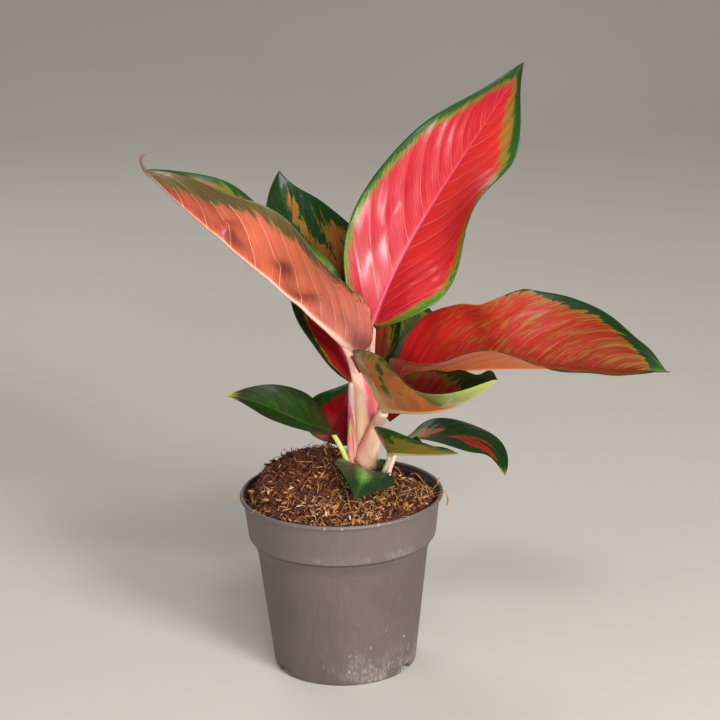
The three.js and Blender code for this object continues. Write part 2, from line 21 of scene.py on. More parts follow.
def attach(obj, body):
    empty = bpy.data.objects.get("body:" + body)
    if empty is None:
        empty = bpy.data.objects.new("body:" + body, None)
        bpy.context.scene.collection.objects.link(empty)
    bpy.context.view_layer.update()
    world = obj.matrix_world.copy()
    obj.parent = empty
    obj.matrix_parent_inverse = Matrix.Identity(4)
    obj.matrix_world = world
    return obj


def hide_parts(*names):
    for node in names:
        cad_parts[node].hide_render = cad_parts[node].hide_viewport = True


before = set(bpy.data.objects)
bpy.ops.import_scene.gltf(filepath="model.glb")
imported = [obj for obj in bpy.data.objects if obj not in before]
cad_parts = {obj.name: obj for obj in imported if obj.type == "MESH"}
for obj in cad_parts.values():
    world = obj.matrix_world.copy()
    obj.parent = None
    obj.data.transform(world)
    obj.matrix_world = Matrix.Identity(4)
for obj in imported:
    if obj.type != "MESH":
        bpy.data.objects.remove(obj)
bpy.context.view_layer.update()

log = logging.getLogger("evergreen")
BODY = "root"
MILLIMETRE = 0.001
# Points nearer to each other than this are merged.
MERGE = 1e-6
# How deep the channel down a stalk's back is, as a share of its radius.
CHANNEL_DEEP = 0.1
# How many rows of a stalk's cells round off each end.
ROUND_ROWS = 2
# Where the hill is that most larger bits keep off, and its reach squared.
HILL_X = -0.03
HILL_Y = 0.016
HILL_SQUARED = 0.0012
# How far the middle of a large chip lies above the mound.
CHIP_LIFT = 0.0026
# A side's width is divided by its curl, which is therefore at least this many radians.
LEAST_CURL = 1e-4
# The smallest half width of a blade.
LEAST_WIDE = 0.0002

Point = tuple[float, float, float]
Path = Sequence[tuple[float, float, float, float]]
Pair = tuple[float, float]
Triple = tuple[float, float, float]
Spot = tuple[float, float, float, float, float]
Bend = Callable[[np.ndarray, np.ndarray], np.ndarray]


class Slot(Enum):
    """Material slots of the record."""

    POT = "pot_plastic"
    SOIL = "soil"
    STEM = "pink_stem"
    RED = "red_leaf"
    SALMON = "salmon_leaf"
    OLIVE = "olive_leaf"
    GREEN = "green_leaf"
    SPECKLED = "speckled_leaf"
    DARK_RED = "dark_red_leaf"
    GREEN_STALK = "green_stalk"
    DARK_STALK = "dark_stalk"


class Face(Enum):
    """Sides of a blade, with the material slot of each."""

    UPPER = 0
    UNDER = 1


def linear(code: str) -> tuple[float, float, float, float]:
    """Turns a screen colour into the scene's linear colour.

    Args:
        code: the colour as #rrggbb.

    Returns:
        Red, green, blue and alpha.
    """
    parts = [int(code[i : i + 2], 16) / 255 for i in (1, 3, 5)]
    red, green, blue = [c / 12.92 if c <= 0.04045 else ((c + 0.055) / 1.055) ** 2.4 for c in parts]
    return (red, green, blue, 1.0)


def link(name: str, data: bpy.types.ID) -> Object:
    """Puts a mesh, curve, light or camera into the scene under a name.

    Args:
        name: the object's name.
        data: what it shows.

    Returns:
        The new object.
    """
    obj = bpy.data.objects.new(name, data)
    bpy.context.scene.collection.objects.link(obj)
    return obj


def take_mesh(bm: bmesh.types.BMesh, name: str) -> Mesh:
    """Turns a finished bmesh into a mesh of its own.

    Args:
        bm: the bmesh, which is freed.
        name: the mesh's name.

    Returns:
        The mesh.
    """
    mesh = bpy.data.meshes.new(name)
    bm.to_mesh(mesh)
    bm.free()
    return mesh


@contextmanager
def opened(mesh: Mesh) -> Iterator[bmesh.types.BMesh]:
    """Opens a mesh to bmesh operators and writes what they make back to it.

    Args:
        mesh: the mesh to change.

    Returns:
        The opened mesh, for a with block.
    """
    bm = bmesh.new()
    bm.from_mesh(mesh)
    yield bm
    bm.to_mesh(mesh)
    bm.free()


def read_points(mesh: Mesh) -> np.ndarray:
    """Reads a mesh's vertices, a row of x, y and z for each.

    Args:
        mesh: the mesh.

    Returns:
        The rows.
    """
    flat = np.zeros(3 * len(mesh.vertices))
    mesh.vertices.foreach_get("co", flat)
    return flat.reshape(-1, 3)


def write_numbers(mesh: Mesh, name: str, columns: Sequence[np.ndarray]) -> None:
    """Stores three numbers for each vertex of a mesh.

    Args:
        mesh: where they are kept.
        name: the attribute's name.
        columns: the three lists of numbers.
    """
    layer = mesh.attributes.new(name, "FLOAT_VECTOR", "POINT")
    layer.data.foreach_set("vector", np.stack(columns, axis=-1).ravel())


def apply_modifiers(obj: Object) -> None:
    """Makes the modified mesh a piece's own and drops the modifiers.

    Args:
        obj: the piece.
    """
    before = obj.data
    graph = bpy.context.evaluated_depsgraph_get()
    obj.data = bpy.data.meshes.new_from_object(obj.evaluated_get(graph))
    obj.modifiers.clear()
    bpy.data.meshes.remove(before)


def register(obj: Object, replaced: Sequence[str] = ()) -> None:
    """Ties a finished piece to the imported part.

    Args:
        obj: the piece.
        replaced: the CAD nodes that it stands for.
    """
    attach(obj, BODY)
    if replaced:
        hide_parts(*replaced)
    log.info("made %s", obj.name)


def new_object(name: str, mesh: Mesh, materials: Sequence[Material]) -> Object:
    """Puts a mesh into the scene with smooth faces.

    Args:
        name: the piece's name.
        mesh: its finished mesh.
        materials: its materials, in the order of their slots.

    Returns:
        The new object.
    """
    for material in materials:
        mesh.materials.append(material)
    mesh.polygons.foreach_set("use_smooth", [True] * len(mesh.polygons))
    return link(name, mesh)


def unit(rows: np.ndarray) -> np.ndarray:
    """Scales each row to a length of one."""
    return rows / np.linalg.norm(rows, axis=-1, keepdims=True)


def along(values: Sequence[float], u: np.ndarray) -> np.ndarray:
    """Runs through two or three values from the base to the tip.

    Args:
        values: at the base, the middle if there are three, and the tip.
        u: places along the leaf, 0 to 1.

    Returns:
        The value at each place.
    """
    if len(values) == 2:
        return values[0] * (1 - u) + values[1] * u
    at_base = values[0] * (1 - u) * (1 - 2 * u)
    at_middle = values[1] * 4 * u * (1 - u)
    return at_base + at_middle + values[2] * u * (2 * u - 1)


def smooth_step(low: float, high: float, value: np.ndarray) -> np.ndarray:
    """Rises smoothly from 0 at low to 1 at high."""
    share = np.clip((value - low) / (high - low), 0, 1)
    return share * share * (3 - 2 * share)


def bell(spot: Spot, u: np.ndarray, v: np.ndarray) -> np.ndarray:
    """Rises smoothly round a spot of a blade.

    Args:
        spot: place along, place across, reach along, reach across and height.
        u: places along the leaf.
        v: places across it.

    Returns:
        The height at each place.
    """
    u_spot, v_spot, long, wide, tall = spot
    return tall * np.exp(-(((u - u_spot) / long) ** 2) - ((v - v_spot) / wide) ** 2)


class Graph:
    """Node tree of one material, built a node at a time."""

    def __init__(self, name: str) -> None:
        """Starts a material with its shader.

        Args:
            name: the material's name.
        """
        self.material = bpy.data.materials.new(name)
        self.material.use_nodes = True
        self.nodes = self.material.node_tree.nodes
        self.links = self.material.node_tree.links
        self.shader = self.nodes["Principled BSDF"]

    def feed(self, socket: NodeSocket, value: object) -> None:
        """Links a socket, or sets its value.

        Args:
            socket: the input to feed.
            value: another node's output, a number, or a screen colour as #rrggbb.
        """
        if isinstance(value, NodeSocket):
            self.links.new(value, socket)
        else:
            socket.default_value = linear(value) if isinstance(value, str) else value

    def math(self, operation: str, a: object, b: object = 0.0, c: object = 0.0) -> NodeSocket:
        """Adds a Math node.

        Args:
            operation: the node's operation.
            a: first value or socket.
            b: second value or socket.
            c: third value or socket.

        Returns:
            The result's socket.
        """
        node = self.nodes.new("ShaderNodeMath")
        node.operation = operation
        for socket, value in zip(node.inputs, (a, b, c)):
            self.feed(socket, value)
        return node.outputs[0]

    def times(self, a: object, b: object) -> NodeSocket:
        """Multiplies two values."""
        return self.math("MULTIPLY", a, b)

    def times_plus(self, a: object, b: object, c: object) -> NodeSocket:
        """Multiplies a by b and adds c."""
        return self.math("MULTIPLY_ADD", a, b, c)

    def away(self, value: object, level: float) -> NodeSocket:
        """Measures how far a value is from a level, either way."""
        return self.math("ABSOLUTE", self.math("SUBTRACT", value, level))

    def ramp(
        self, value: object, low: float, high: float, start: float = 0.0, end: float = 1.0
    ) -> NodeSocket:
        """Maps a value smoothly from one range to another.

        Args:
            value: what is mapped.
            low: value that gives start.
            high: value that gives end.
            start: result at low and below.
            end: result at high and above.

        Returns:
            The result's socket.
        """
        node = self.nodes.new("ShaderNodeMapRange")
        node.interpolation_type = "SMOOTHSTEP"
        for socket, number in zip(node.inputs, (value, low, high, start, end)):
            self.feed(socket, number)
        return node.outputs[0]

    def mix(self, share: object, a: object, b: object) -> NodeSocket:
        """Blends two colours.

        Args:
            share: how much of b shows.
            a: colour where share is 0.
            b: colour where share is 1.

        Returns:
            The blended colour's socket.
        """
        node = self.nodes.new("ShaderNodeMix")
        node.data_type = "RGBA"
        for index, value in zip((0, 6, 7), (share, a, b)):
            self.feed(node.inputs[index], value)
        return node.outputs[2]

    def combine(self, x: object, y: object, z: object = 0.0) -> NodeSocket:
        """Makes a vector of three values.

        Args:
            x: its first value.
            y: its second value.
            z: its third value.

        Returns:
            The vector.
        """
        node = self.nodes.new("ShaderNodeCombineXYZ")
        for socket, value in zip(node.inputs, (x, y, z)):
            self.feed(socket, value)
        return node.outputs[0]

    def split(self, vector: NodeSocket) -> list[NodeSocket]:
        """Takes a vector apart into x, y and z.

        Args:
            vector: another node's output.

        Returns:
            The three values.
        """
        node = self.nodes.new("ShaderNodeSeparateXYZ")
        self.feed(node.inputs[0], vector)
        return list(node.outputs)

    def attribute(self, name: str) -> list[NodeSocket]:
        """Reads the three numbers of a piece's own attribute.

        Args:
            name: the attribute's name.

        Returns:
            The three numbers.
        """
        node = self.nodes.new("ShaderNodeAttribute")
        node.attribute_name = name
        return self.split(node.outputs["Vector"])

    def place(self, stretch: Triple = (1, 1, 1)) -> NodeSocket:
        """Reads Object coordinates, stretched along the axes.

        Args:
            stretch: the factor along each axis.

        Returns:
            The place.
        """
        coordinates = self.nodes.new("ShaderNodeTexCoord")
        mapping = self.nodes.new("ShaderNodeMapping")
        mapping.inputs["Scale"].default_value = stretch
        self.links.new(coordinates.outputs["Object"], mapping.inputs["Vector"])
        return mapping.outputs[0]

    def noise(
        self, vector: NodeSocket, scale: float, detail: float = 2.0, rough: float = 0.5
    ) -> NodeSocket:
        """Adds a cloudy pattern.

        Args:
            vector: where the pattern is read.
            scale: how fine it is.
            detail: how many finer layers it has.
            rough: how strong the finer layers are.

        Returns:
            The pattern's socket, from 0 to 1 round 0.5.
        """
        node = self.nodes.new("ShaderNodeTexNoise")
        self.feed(node.inputs["Vector"], vector)
        node.inputs["Scale"].default_value = scale
        node.inputs["Detail"].default_value = detail
        node.inputs["Roughness"].default_value = rough
        return node.outputs[0]

    def coat(self, weight: float, rough: float) -> None:
        """Lays a clear coat over the shader, of a weight and a roughness."""
        self.shader.inputs["Coat Weight"].default_value = weight
        self.shader.inputs["Coat Roughness"].default_value = rough

    def finish(self, colour: object, rough: object, height: object, bump: float, depth: float) -> Material:
        """Feeds the shader.

        Args:
            colour: base colour.
            rough: roughness.
            height: relief from 0 to 1.
            bump: strength of the relief.
            depth: its depth in metres.

        Returns:
            The finished material.
        """
        relief = self.nodes.new("ShaderNodeBump")
        relief.inputs["Strength"].default_value = bump
        relief.inputs["Distance"].default_value = depth
        self.feed(relief.inputs["Height"], height)
        self.feed(self.shader.inputs["Normal"], relief.outputs[0])
        self.feed(self.shader.inputs["Base Color"], colour)
        self.feed(self.shader.inputs["Roughness"], rough)
        return self.material


@dataclass(frozen=True)
class VeinGrain:
    """Patterns of a blade's material that are drawn out along its side veins.

    phase is the count of side veins passed, across the signed distance from the midrib in
    millimetres, and start is where this leaf reads the patterns.
    """

    graph: Graph
    phase: NodeSocket
    across: NodeSocket
    start: float

    def cloud(self, by_vein: float, by_length: float) -> NodeSocket:
        """Makes one pattern.

        Args:
            by_vein: cells for each side vein.
            by_length: cells for each millimetre along it.

        Returns:
            The pattern's socket, from about -1 to 1.
        """
        wide = self.graph.times(self.phase, by_vein)
        long = self.graph.times(self.across, by_length)
        cloud = self.graph.noise(self.graph.combine(wide, long, self.start), 1.0, 3.0, 0.6)
        return self.graph.times_plus(cloud, 4.0, -2.0)


@dataclass(frozen=True)
class LeafFinish:
    """Colours and gloss of one face of a blade.

    The pattern follows the piece's attributes: "pattern" holds the millimetres inside the green
    margin's line, the millimetres from the midrib and the place along the leaf, and "flow" holds
    the count of side veins passed, the signed distance from the midrib and the distance from it
    as a share of the midrib's own half width; "hollow" holds how strong the painted crease shade is.

    left and right are the two halves' main colours, heart is the base's, fade and tip are those
    towards and at the tip, and hollow is the colour of the painted shade in the creases. margin and
    light mix in the green edge, which base_margin tints near the base. seam is the line between the
    edge and the inner colour, and of the flecks beside it; tip_flecks lets these reach in further
    near the tip on the right, by millimetres. streak marks the streaks, lines and hairs along the
    side veins. jag, blot, teeth and tooth make the margin's line ragged, by millimetres.
    """

    name: str
    left: str
    right: str
    heart: str
    margin: str
    light: str
    seam: str
    vein: str
    rib: str
    streak: str
    heart_to: float = 0.4
    streaks: float = 0.3
    base_streaks: float = 0.3
    streak_from: float = 0.15
    hairs: float = 0.45
    lines: float = 0.0
    teeth: float = 0.0
    tooth: float = 0.7
    soft: float = 0.3
    flecks: float = 0.5
    fleck_reach: float = 8.0
    tip_flecks: float = 0.0
    jag: float = 1.6
    blot: float = 1.0
    seam_wide: float = 1.2
    dashes: float = 0.0
    dash_reach: float = 14.0
    vein_show: float = 0.4
    rib_wide: float = 0.9
    rib_show: float = 0.7
    rib_tip: float = 0.3
    shine: float = 0.3
    fade: str = ""
    tip: str = ""
    tip_from: float = 0.7
    rough: float = 0.36
    coat: float = 0.15
    coat_rough: float = 0.12
    base_margin: str = ""
    # Colour of the painted shade in the creases.
    hollow: str = ""

    def material(self, start: float) -> Material:
        """Builds the face's material.

        Args:
            start: where this leaf reads the pattern.

        Returns:
            The material.
        """
        graph = Graph(self.name)
        inside, from_rib, place = graph.attribute("pattern")
        phase, across, off_rib = graph.attribute("flow")
        grain = VeinGrain(graph, phase, across, start)
        broad = grain.cloud(1.1, 0.05)
        streak = grain.cloud(6.0, 0.07)
        fine = grain.cloud(14.0, 0.45)
        hair = grain.cloud(22.0, 0.12)
        spots = grain.cloud(3.2, 0.17)

        half = graph.times_plus(broad, 5.0, across)
        colour = graph.mix(graph.ramp(half, -5, 5), self.left, self.right)
        low = graph.times_plus(broad, 0.1, place)
        colour = graph.mix(graph.ramp(low, 0.02, self.heart_to, 1, 0), colour, self.heart)
        if self.fade:
            colour = graph.mix(graph.ramp(low, 0.5, 1.0), colour, self.fade)
        colour = graph.mix(graph.ramp(hair, -0.3, 1.2, 0, self.hairs), colour, self.streak)
        grouped = graph.times_plus(spots, 0.7, streak)
        streaked = graph.ramp(grouped, self.streak_from, self.streak_from + 0.6, 0, self.streaks)
        streaked = graph.times(streaked, graph.ramp(low, 0.1, 0.5, self.base_streaks, 1.0))
        colour = graph.mix(streaked, colour, self.streak)
        if self.lines:
            long = graph.times_plus(spots, 0.8, grain.cloud(20.0, 0.04))
            shown = graph.times(graph.ramp(long, 0.0, 0.7, 0, self.lines), graph.ramp(low, 0.15, 0.5))
            colour = graph.mix(shown, colour, self.streak)
        # Painted shade: the creases darken towards the hollow colour.
        if self.hollow:
            deep = graph.times_plus(broad, 0.25, graph.attribute("hollow")[0])
            colour = graph.mix(graph.ramp(deep, 0.15, 0.95, 0, 0.85), colour, self.hollow)
        colour = graph.mix(self._vein_lines(grain, from_rib, streak), colour, self.vein)

        line = graph.math("ADD", inside, graph.times(fine, self.jag))
        line = graph.math("ADD", line, graph.times(spots, self.blot))
        line = graph.times_plus(streak, self.teeth, line)
        speckled = line
        if self.tip_flecks:
            outer = graph.times(graph.ramp(across, 1.0, 5.0), graph.ramp(place, 0.62, 0.74))
            speckled = graph.times_plus(outer, -self.tip_flecks, line)
        flecked = self._flecks(graph, speckled, fine, hair)
        colour = graph.mix(flecked, colour, self.seam)
        ragged = graph.times_plus(hair, self.tooth, line)
        thin = graph.times_plus(streak, -1.5 * self.seam_wide, ragged)
        seam = graph.ramp(thin, 0.6 * self.seam_wide, self.seam_wide, 0.9, 0)
        colour = graph.mix(seam, colour, self.seam)
        green = graph.mix(graph.ramp(hair, -0.6, 0.8), self.margin, self.light)
        if self.base_margin:
            green = graph.mix(graph.ramp(low, 0.14, 0.4, 0.9, 0), green, self.base_margin)
        if self.dashes:
            dashed = graph.times(self._dashes(grain, inside), graph.ramp(low, 0.1, 0.3))
            colour = graph.mix(dashed, colour, self.margin)
        colour = graph.mix(graph.ramp(ragged, -self.soft, 0.2, 1, 0), colour, green)
        if self.tip:
            reach = graph.ramp(graph.times_plus(broad, 0.06, place), self.tip_from, 1.02, 0, 0.95)
            colour = graph.mix(reach, colour, self.tip)
        rib = graph.ramp(off_rib, 0.5 * self.rib_wide, 1.5 * self.rib_wide, self.rib_show, 0)
        rib = graph.times(rib, graph.ramp(place, 0.1, 1.0, 1.0, self.rib_tip))
        colour = graph.mix(rib, colour, self.rib)

        cloud = graph.noise(graph.place(), 90, 3)
        rough = graph.ramp(cloud, 0.3, 0.7, self.rough - 0.05, self.rough + 0.06)
        graph.shader.inputs["Specular IOR Level"].default_value = self.shine
        graph.coat(self.coat, self.coat_rough)
        return graph.finish(colour, rough, hair, 0.2, 0.0002)

    def _flecks(self, graph: Graph, line: NodeSocket, fine: NodeSocket, hair: NodeSocket) -> NodeSocket:
        """Scatters thin flecks beside the margin, fewer and fewer towards the midrib.

        Args:
            graph: the material's nodes.
            line: ragged distance from the margin's line.
            fine: small pattern.
            hair: pattern of thin lines.

        Returns:
            How much of the seam's colour shows.
        """
        near = graph.ramp(line, 0, self.fleck_reach, 1, 0)
        limit = graph.times_plus(near, -1.2 * self.flecks, 1.0)
        both = graph.times_plus(hair, 0.6, fine)
        shown = graph.ramp(graph.math("SUBTRACT", both, limit), 0, 0.25)
        return graph.times(shown, graph.ramp(near, 0, 0.2))

    def _dashes(self, grain: VeinGrain, inside: NodeSocket) -> NodeSocket:
        """Draws short dark dashes along the finest veins, densest beside the margin.

        Args:
            grain: the blade's patterns.
            inside: distance from the margin's line.

        Returns:
            How much of the margin's colour shows.
        """
        graph = grain.graph
        dots = grain.cloud(15.0, 0.3)
        groups = grain.cloud(2.5, 0.11)
        near = graph.ramp(inside, 0, self.dash_reach, 1, -0.2)
        limit = graph.times_plus(near, -0.8, 1.0)
        shown = graph.times_plus(groups, 0.4, graph.math("SUBTRACT", dots, limit))
        return graph.ramp(shown, 0, 0.3, 0, self.dashes)

    def _vein_lines(self, grain: VeinGrain, from_rib: NodeSocket, streak: NodeSocket) -> NodeSocket:
        """Draws the side veins as thin broken lines, with finer ones between them.

        Args:
            grain: the blade's patterns.
            from_rib: distance from the midrib.
            streak: pattern that fades parts of the lines.

        Returns:
            How much of the vein colour shows.
        """
        graph = grain.graph
        shown = []
        for count, wide, share in ((1, 0.017, 1.0), (3, 0.03, 0.25)):
            off_line = graph.away(graph.math("FRACT", graph.times(grain.phase, count)), 0.5)
            shown.append(graph.ramp(off_line, 0.5 - wide, 0.5 - 0.2 * wide, 0, share * self.vein_show))
        line = graph.math("MAXIMUM", shown[0], shown[1])
        line = graph.times(line, graph.ramp(streak, -0.8, 0.6, 0.45, 1.0))
        return graph.times(line, graph.ramp(from_rib, 16, 34, 1, 0.2))


@dataclass(frozen=True)
class Side:
    """One half of a blade: degrees of fold and curl, the margin's wave and its own outline.

    margin is how wide the green edge is at the base, the middle and the tip; veins lists where
    along the midrib the side veins start; bumps widen the outline, each round a place, over a
    reach and by an amount.
    """

    fold: Sequence[float]
    curl: Sequence[float]
    wave: Triple
    margin: Triple
    shape: Triple | None = None
    veins: Sequence[float] = ()
    bumps: Sequence[Triple] = ()


@dataclass(frozen=True)
class Blade:
    """A leaf's blade between its upper and its lower face.

    rib shapes the midrib; face is where the upper face looks at the base and at the tip;
    half, rise and fall give the outline. A spot is a place along and across the blade, its reach
    both ways and an amount: patches widen the inner colour by millimetres (or the green where
    negative), dents push the blade by metres and the painted crease shades darken the creases with
    painted shade. ridge is how far the midrib stands out, flare how much wider it is at the base,
    pillow the swelling between side veins, tip_wide the half width at the tip, veins the count of
    side veins, and start is where the pattern is read.
    """

    node: str
    slot: Slot
    upper: LeafFinish
    under: LeafFinish
    rib: Sequence[Point]
    face: tuple[Point, Point]
    half: float
    rise: float
    fall: float
    ridge: float
    left: Side
    right: Side
    veins: float = 8.0
    patches: Sequence[Spot] = ()
    dents: Sequence[Spot] = ()
    # Spots where shade is painted into the creases.
    painted_crease_shades: Sequence[Spot] = ()
    pillow: float = 0.0005
    flare: float = 0.0008
    tip_wide: float = 0.00025
    replaces_node: bool = True
    rows: int = 130
    columns: int = 36
    start: float = 0.0

    THICK = 0.00055
    EDGE_THICK = 0.00025
    EDGE_WIDE = 0.004
    NECK = 0.0017
    VEIN_LEAN = 0.2
    VEIN_SWEEP = 0.16
    LEFT_SHIFT = 0.45
    GROOVE_SHARE = 0.3
    RIB_HALF = 0.0006
    RIB_MORE = 0.0008
    FLARE_REACH = 0.07
    RIDGE_FADE = 0.85
    BODY_FROM = 0.001
    BODY_TO = 0.009
    BODY_EDGE = 0.011
    DEEPEST_GREEN = -6.0
    DEEPEST_INNER = 14.0
    NORMAL_STEP = 0.006

    def _weights(self, u: np.ndarray) -> tuple[np.ndarray, np.ndarray]:
        """Finds the midrib's points and directions at u.

        Args:
            u: places along the midrib, 0 to 1.

        Returns:
            The points and the directions.
        """
        w = 1 - u
        ends = np.array(self.rib)
        cubic = np.stack([w**3, 3 * w * w * u, 3 * w * u * u, u**3], axis=-1)
        square = np.stack([w * w, 2 * w * u, u * u], axis=-1)
        return cubic @ ends, unit(square @ np.diff(ends, axis=0))

    def width(self, side: Side, u: np.ndarray) -> np.ndarray:
        """Half width of one side at u.

        Args:
            side: the half of the blade.
            u: places along the leaf.

        Returns:
            Widths in metres.
        """
        half, rise, fall = side.shape or (self.half, self.rise, self.fall)
        widest = rise / (rise + fall)
        share = (u / widest) ** rise * ((1 - u) / (1 - widest)) ** fall
        wide = half * share + self.NECK * (1 - u) ** 6 + self.tip_wide * u**6
        for middle, reach, amount in side.bumps:
            wide = wide + amount * np.exp(-(((u - middle) / reach) ** 2))
        return np.maximum(wide, LEAST_WIDE)

    def middle(self, u: np.ndarray, v: np.ndarray) -> np.ndarray:
        """Finds points halfway through the blade.

        Args:
            u: places along the leaf, 0 to 1.
            v: places across it, -1 at the left margin to 1 at the right.

        Returns:
            A point for each place.
        """
        centre, forward = self._weights(u)
        facing = np.outer(1 - u, self.face[0]) + np.outer(u, self.face[1])
        up = unit(facing - forward * np.sum(facing * forward, axis=-1, keepdims=True))
        right = np.cross(forward, up)
        sideways = np.zeros_like(u)
        lift = np.zeros_like(u)
        for side, sign in ((self.left, -1), (self.right, 1)):
            here = (v < 0) if sign < 0 else (v >= 0)
            t = np.abs(v)
            wide = self.width(side, u)
            fold = np.radians(along(side.fold, u))
            curl = np.radians(along(side.curl, u))
            curl = np.where(np.abs(curl) < LEAST_CURL, LEAST_CURL, curl)
            turned = fold + curl * t
            out = wide * (np.sin(turned) - np.sin(fold)) / curl
            rise = wide * (np.cos(fold) - np.cos(turned)) / curl
            tall, count, start = side.wave
            fade = np.minimum(wide / self.half * 1.3, 1)
            wave = tall * t * t * np.sin(2 * math.pi * (count * u + start)) * fade
            sideways = np.where(here, sign * (out - wave * np.sin(turned)), sideways)
            lift = np.where(here, rise + wave * np.cos(turned), lift)
        return centre + right * sideways[:, None] + up * lift[:, None]

    def normal(self, u: np.ndarray, v: np.ndarray) -> np.ndarray:
        """Direction off the upper face at each place.

        Args:
            u: places along the midrib, 0 to 1.
            v: places across the blade, -1 to 1.

        Returns:
            The directions, each of length 1.
        """
        step = self.NORMAL_STEP
        lengthwise = self.middle(np.minimum(u + step, 1), v) - self.middle(np.maximum(u - step, 0), v)
        crosswise = self.middle(u, np.minimum(v + step, 1)) - self.middle(u, np.maximum(v - step, -1))
        return unit(np.cross(crosswise, lengthwise))

    def phase(self, u: np.ndarray, v: np.ndarray) -> np.ndarray:
        """Counts the side veins passed; each leaves the midrib and sweeps to the tip, unevenly spaced.

        Args:
            u: places along the midrib, 0 to 1.
            v: places across the blade, -1 to 1.

        Returns:
            The counts, whole on a vein.
        """
        t = np.abs(v)
        start = u - self.VEIN_LEAN * t - self.VEIN_SWEEP * t * t
        left = self._count(self.left, start, self.LEFT_SHIFT)
        return np.where(v < 0, left, self._count(self.right, start, 0.0))

    def _count(self, side: Side, start: np.ndarray, shift: float) -> np.ndarray:
        """Counts the side veins of one half up to a place on the midrib.

        Args:
            side: the half of the blade.
            start: places along the midrib.
            shift: how much further this half's even count is.

        Returns:
            The count at each place, whole where a vein starts.
        """
        if side.veins:
            known = np.array([-0.6, *side.veins, 1.3])
            numbers = np.arange(len(known)) + np.array([-4.0, *([0.0] * len(side.veins)), 3.0])
            return np.interp(start, known, numbers)
        count = start * self.veins + shift
        return count + 0.16 * np.sin(2.1 * count + self.start) + 0.1 * np.sin(4.7 * count + 2 * self.start)

    def build(self) -> Object:
        """Makes the blade as one closed piece with its patterns.

        Returns:
            The blade's object.
        """
        mesh = double_grid(self.node, self.rows, 2 * self.columns)
        self._shape(mesh)
        materials = [face.material(self.start) for face in (self.upper, self.under)]
        return new_object(self.node + "_blade", mesh, materials)

    def _shape(self, mesh: Mesh) -> None:
        """Bends the flat grid to the leaf and writes its patterns.

        Args:
            mesh: two joined flat grids from -1 to 1, the lower one under the upper one.
        """
        x, y, z = read_points(mesh).T
        s = (x + 1) / 2
        u = 0.35 * s + 0.65 * (0.5 - 0.5 * np.cos(math.pi * s))
        v = np.sign(y) * np.abs(y) ** 1.35
        t = np.abs(v)
        under = z < -0.5
        on_left = v < 0
        wide = np.where(on_left, self.width(self.left, u), self.width(self.right, u))
        from_rib = t * wide
        edge = (1 - t) * wide
        phase = self.phase(u, v)
        normal = self.normal(u, v)
        body = smooth_step(self.BODY_FROM, self.BODY_TO, from_rib)
        body = body * smooth_step(0.0, self.BODY_EDGE, edge)
        pillow = self.pillow * body * (np.abs(np.sin(math.pi * phase)) ** 0.7 - 0.6)
        for spot in self.dents:
            pillow = pillow + bell(spot, u, v)
        thick = self.EDGE_THICK + (self.THICK - self.EDGE_THICK) * smooth_step(0, self.EDGE_WIDE, edge)
        rib_half = self.RIB_HALF + self.RIB_MORE * (1 - u) ** 1.5
        rib_half = rib_half + self.flare * np.exp(-u / self.FLARE_REACH)
        ridge = (self.ridge * (1 - self.RIDGE_FADE * u)) * np.exp(-((from_rib / rib_half) ** 2))
        groove = self.GROOVE_SHARE * ridge
        offset = np.where(under, pillow - thick / 2 - ridge, pillow + thick / 2 - groove)
        points = self.middle(u, v) + normal * offset[:, None]
        mesh.vertices.foreach_set("co", points.ravel())
        margins = np.where(on_left, along(self.left.margin, u), along(self.right.margin, u))
        inside = np.clip((edge - margins) / MILLIMETRE, self.DEEPEST_GREEN, self.DEEPEST_INNER)
        for spot in self.patches:
            inside = inside + bell(spot, u, v)
        write_numbers(mesh, "pattern", (inside, from_rib / MILLIMETRE, u))
        signed = np.sign(v) * from_rib / MILLIMETRE
        write_numbers(mesh, "flow", (phase, signed, from_rib / rib_half))
        # How strong the painted crease shade is at each point.
        deep = 0 * u
        for spot in self.painted_crease_shades:
            deep = deep + bell(spot, u, v)
        write_numbers(mesh, "hollow", (deep, u, v))
        mesh.update()


@dataclass(frozen=True)
class StemFinish:
    """Colours of a stalk or sheath, from its foot to its top, with streaks along it.

    The pattern follows the attribute "stalk": the share of the length, and two numbers round
    the stalk that meet without a seam, or the place across a sheath.
    """

    name: str
    foot: str
    middle: str
    top: str
    streak: str
    streaks: float = 0.5
    edge: str = ""
    edge_from: Pair = (0.35, 0.9)
    turn: Pair = (0.35, 0.75)
    rough: float = 0.38

    def material(self) -> Material:
        """Builds the stalk's material.

        Returns:
            The material.
        """
        graph = Graph(self.name)
        share, across, other = graph.attribute("stalk")
        vector = graph.combine(graph.times(share, 1.6), across, other)
        broad = graph.noise(vector, 1.7, 3)
        lines = graph.noise(graph.combine(graph.times(share, 2.5), across, other), 9.0, 3, 0.6)
        low, high = self.turn
        shifted = graph.times_plus(broad, 0.4, graph.math("SUBTRACT", share, 0.2))
        colour = graph.mix(graph.ramp(shifted, 0.0, low), self.foot, self.middle)
        colour = graph.mix(graph.ramp(shifted, low, high), colour, self.top)
        marked = graph.times(graph.ramp(broad, 0.5, 0.68), self.streaks)
        colour = graph.mix(marked, colour, self.streak)
        thin = graph.times(graph.ramp(lines, 0.5, 0.75), self.streaks * 0.6)
        colour = graph.mix(thin, colour, self.streak)
        if self.edge:
            rim = graph.ramp(graph.math("ABSOLUTE", across), 0.3, 1.0, 0, 0.85)
            rim = graph.times(rim, graph.ramp(share, 0.2, 0.8))
            upper = graph.ramp(share, *self.edge_from)
            colour = graph.mix(graph.math("MAXIMUM", rim, upper), colour, self.edge)
        graph.coat(0.1, 0.3)
        return graph.finish(colour, self.rough, lines, 0.3, 0.0004)


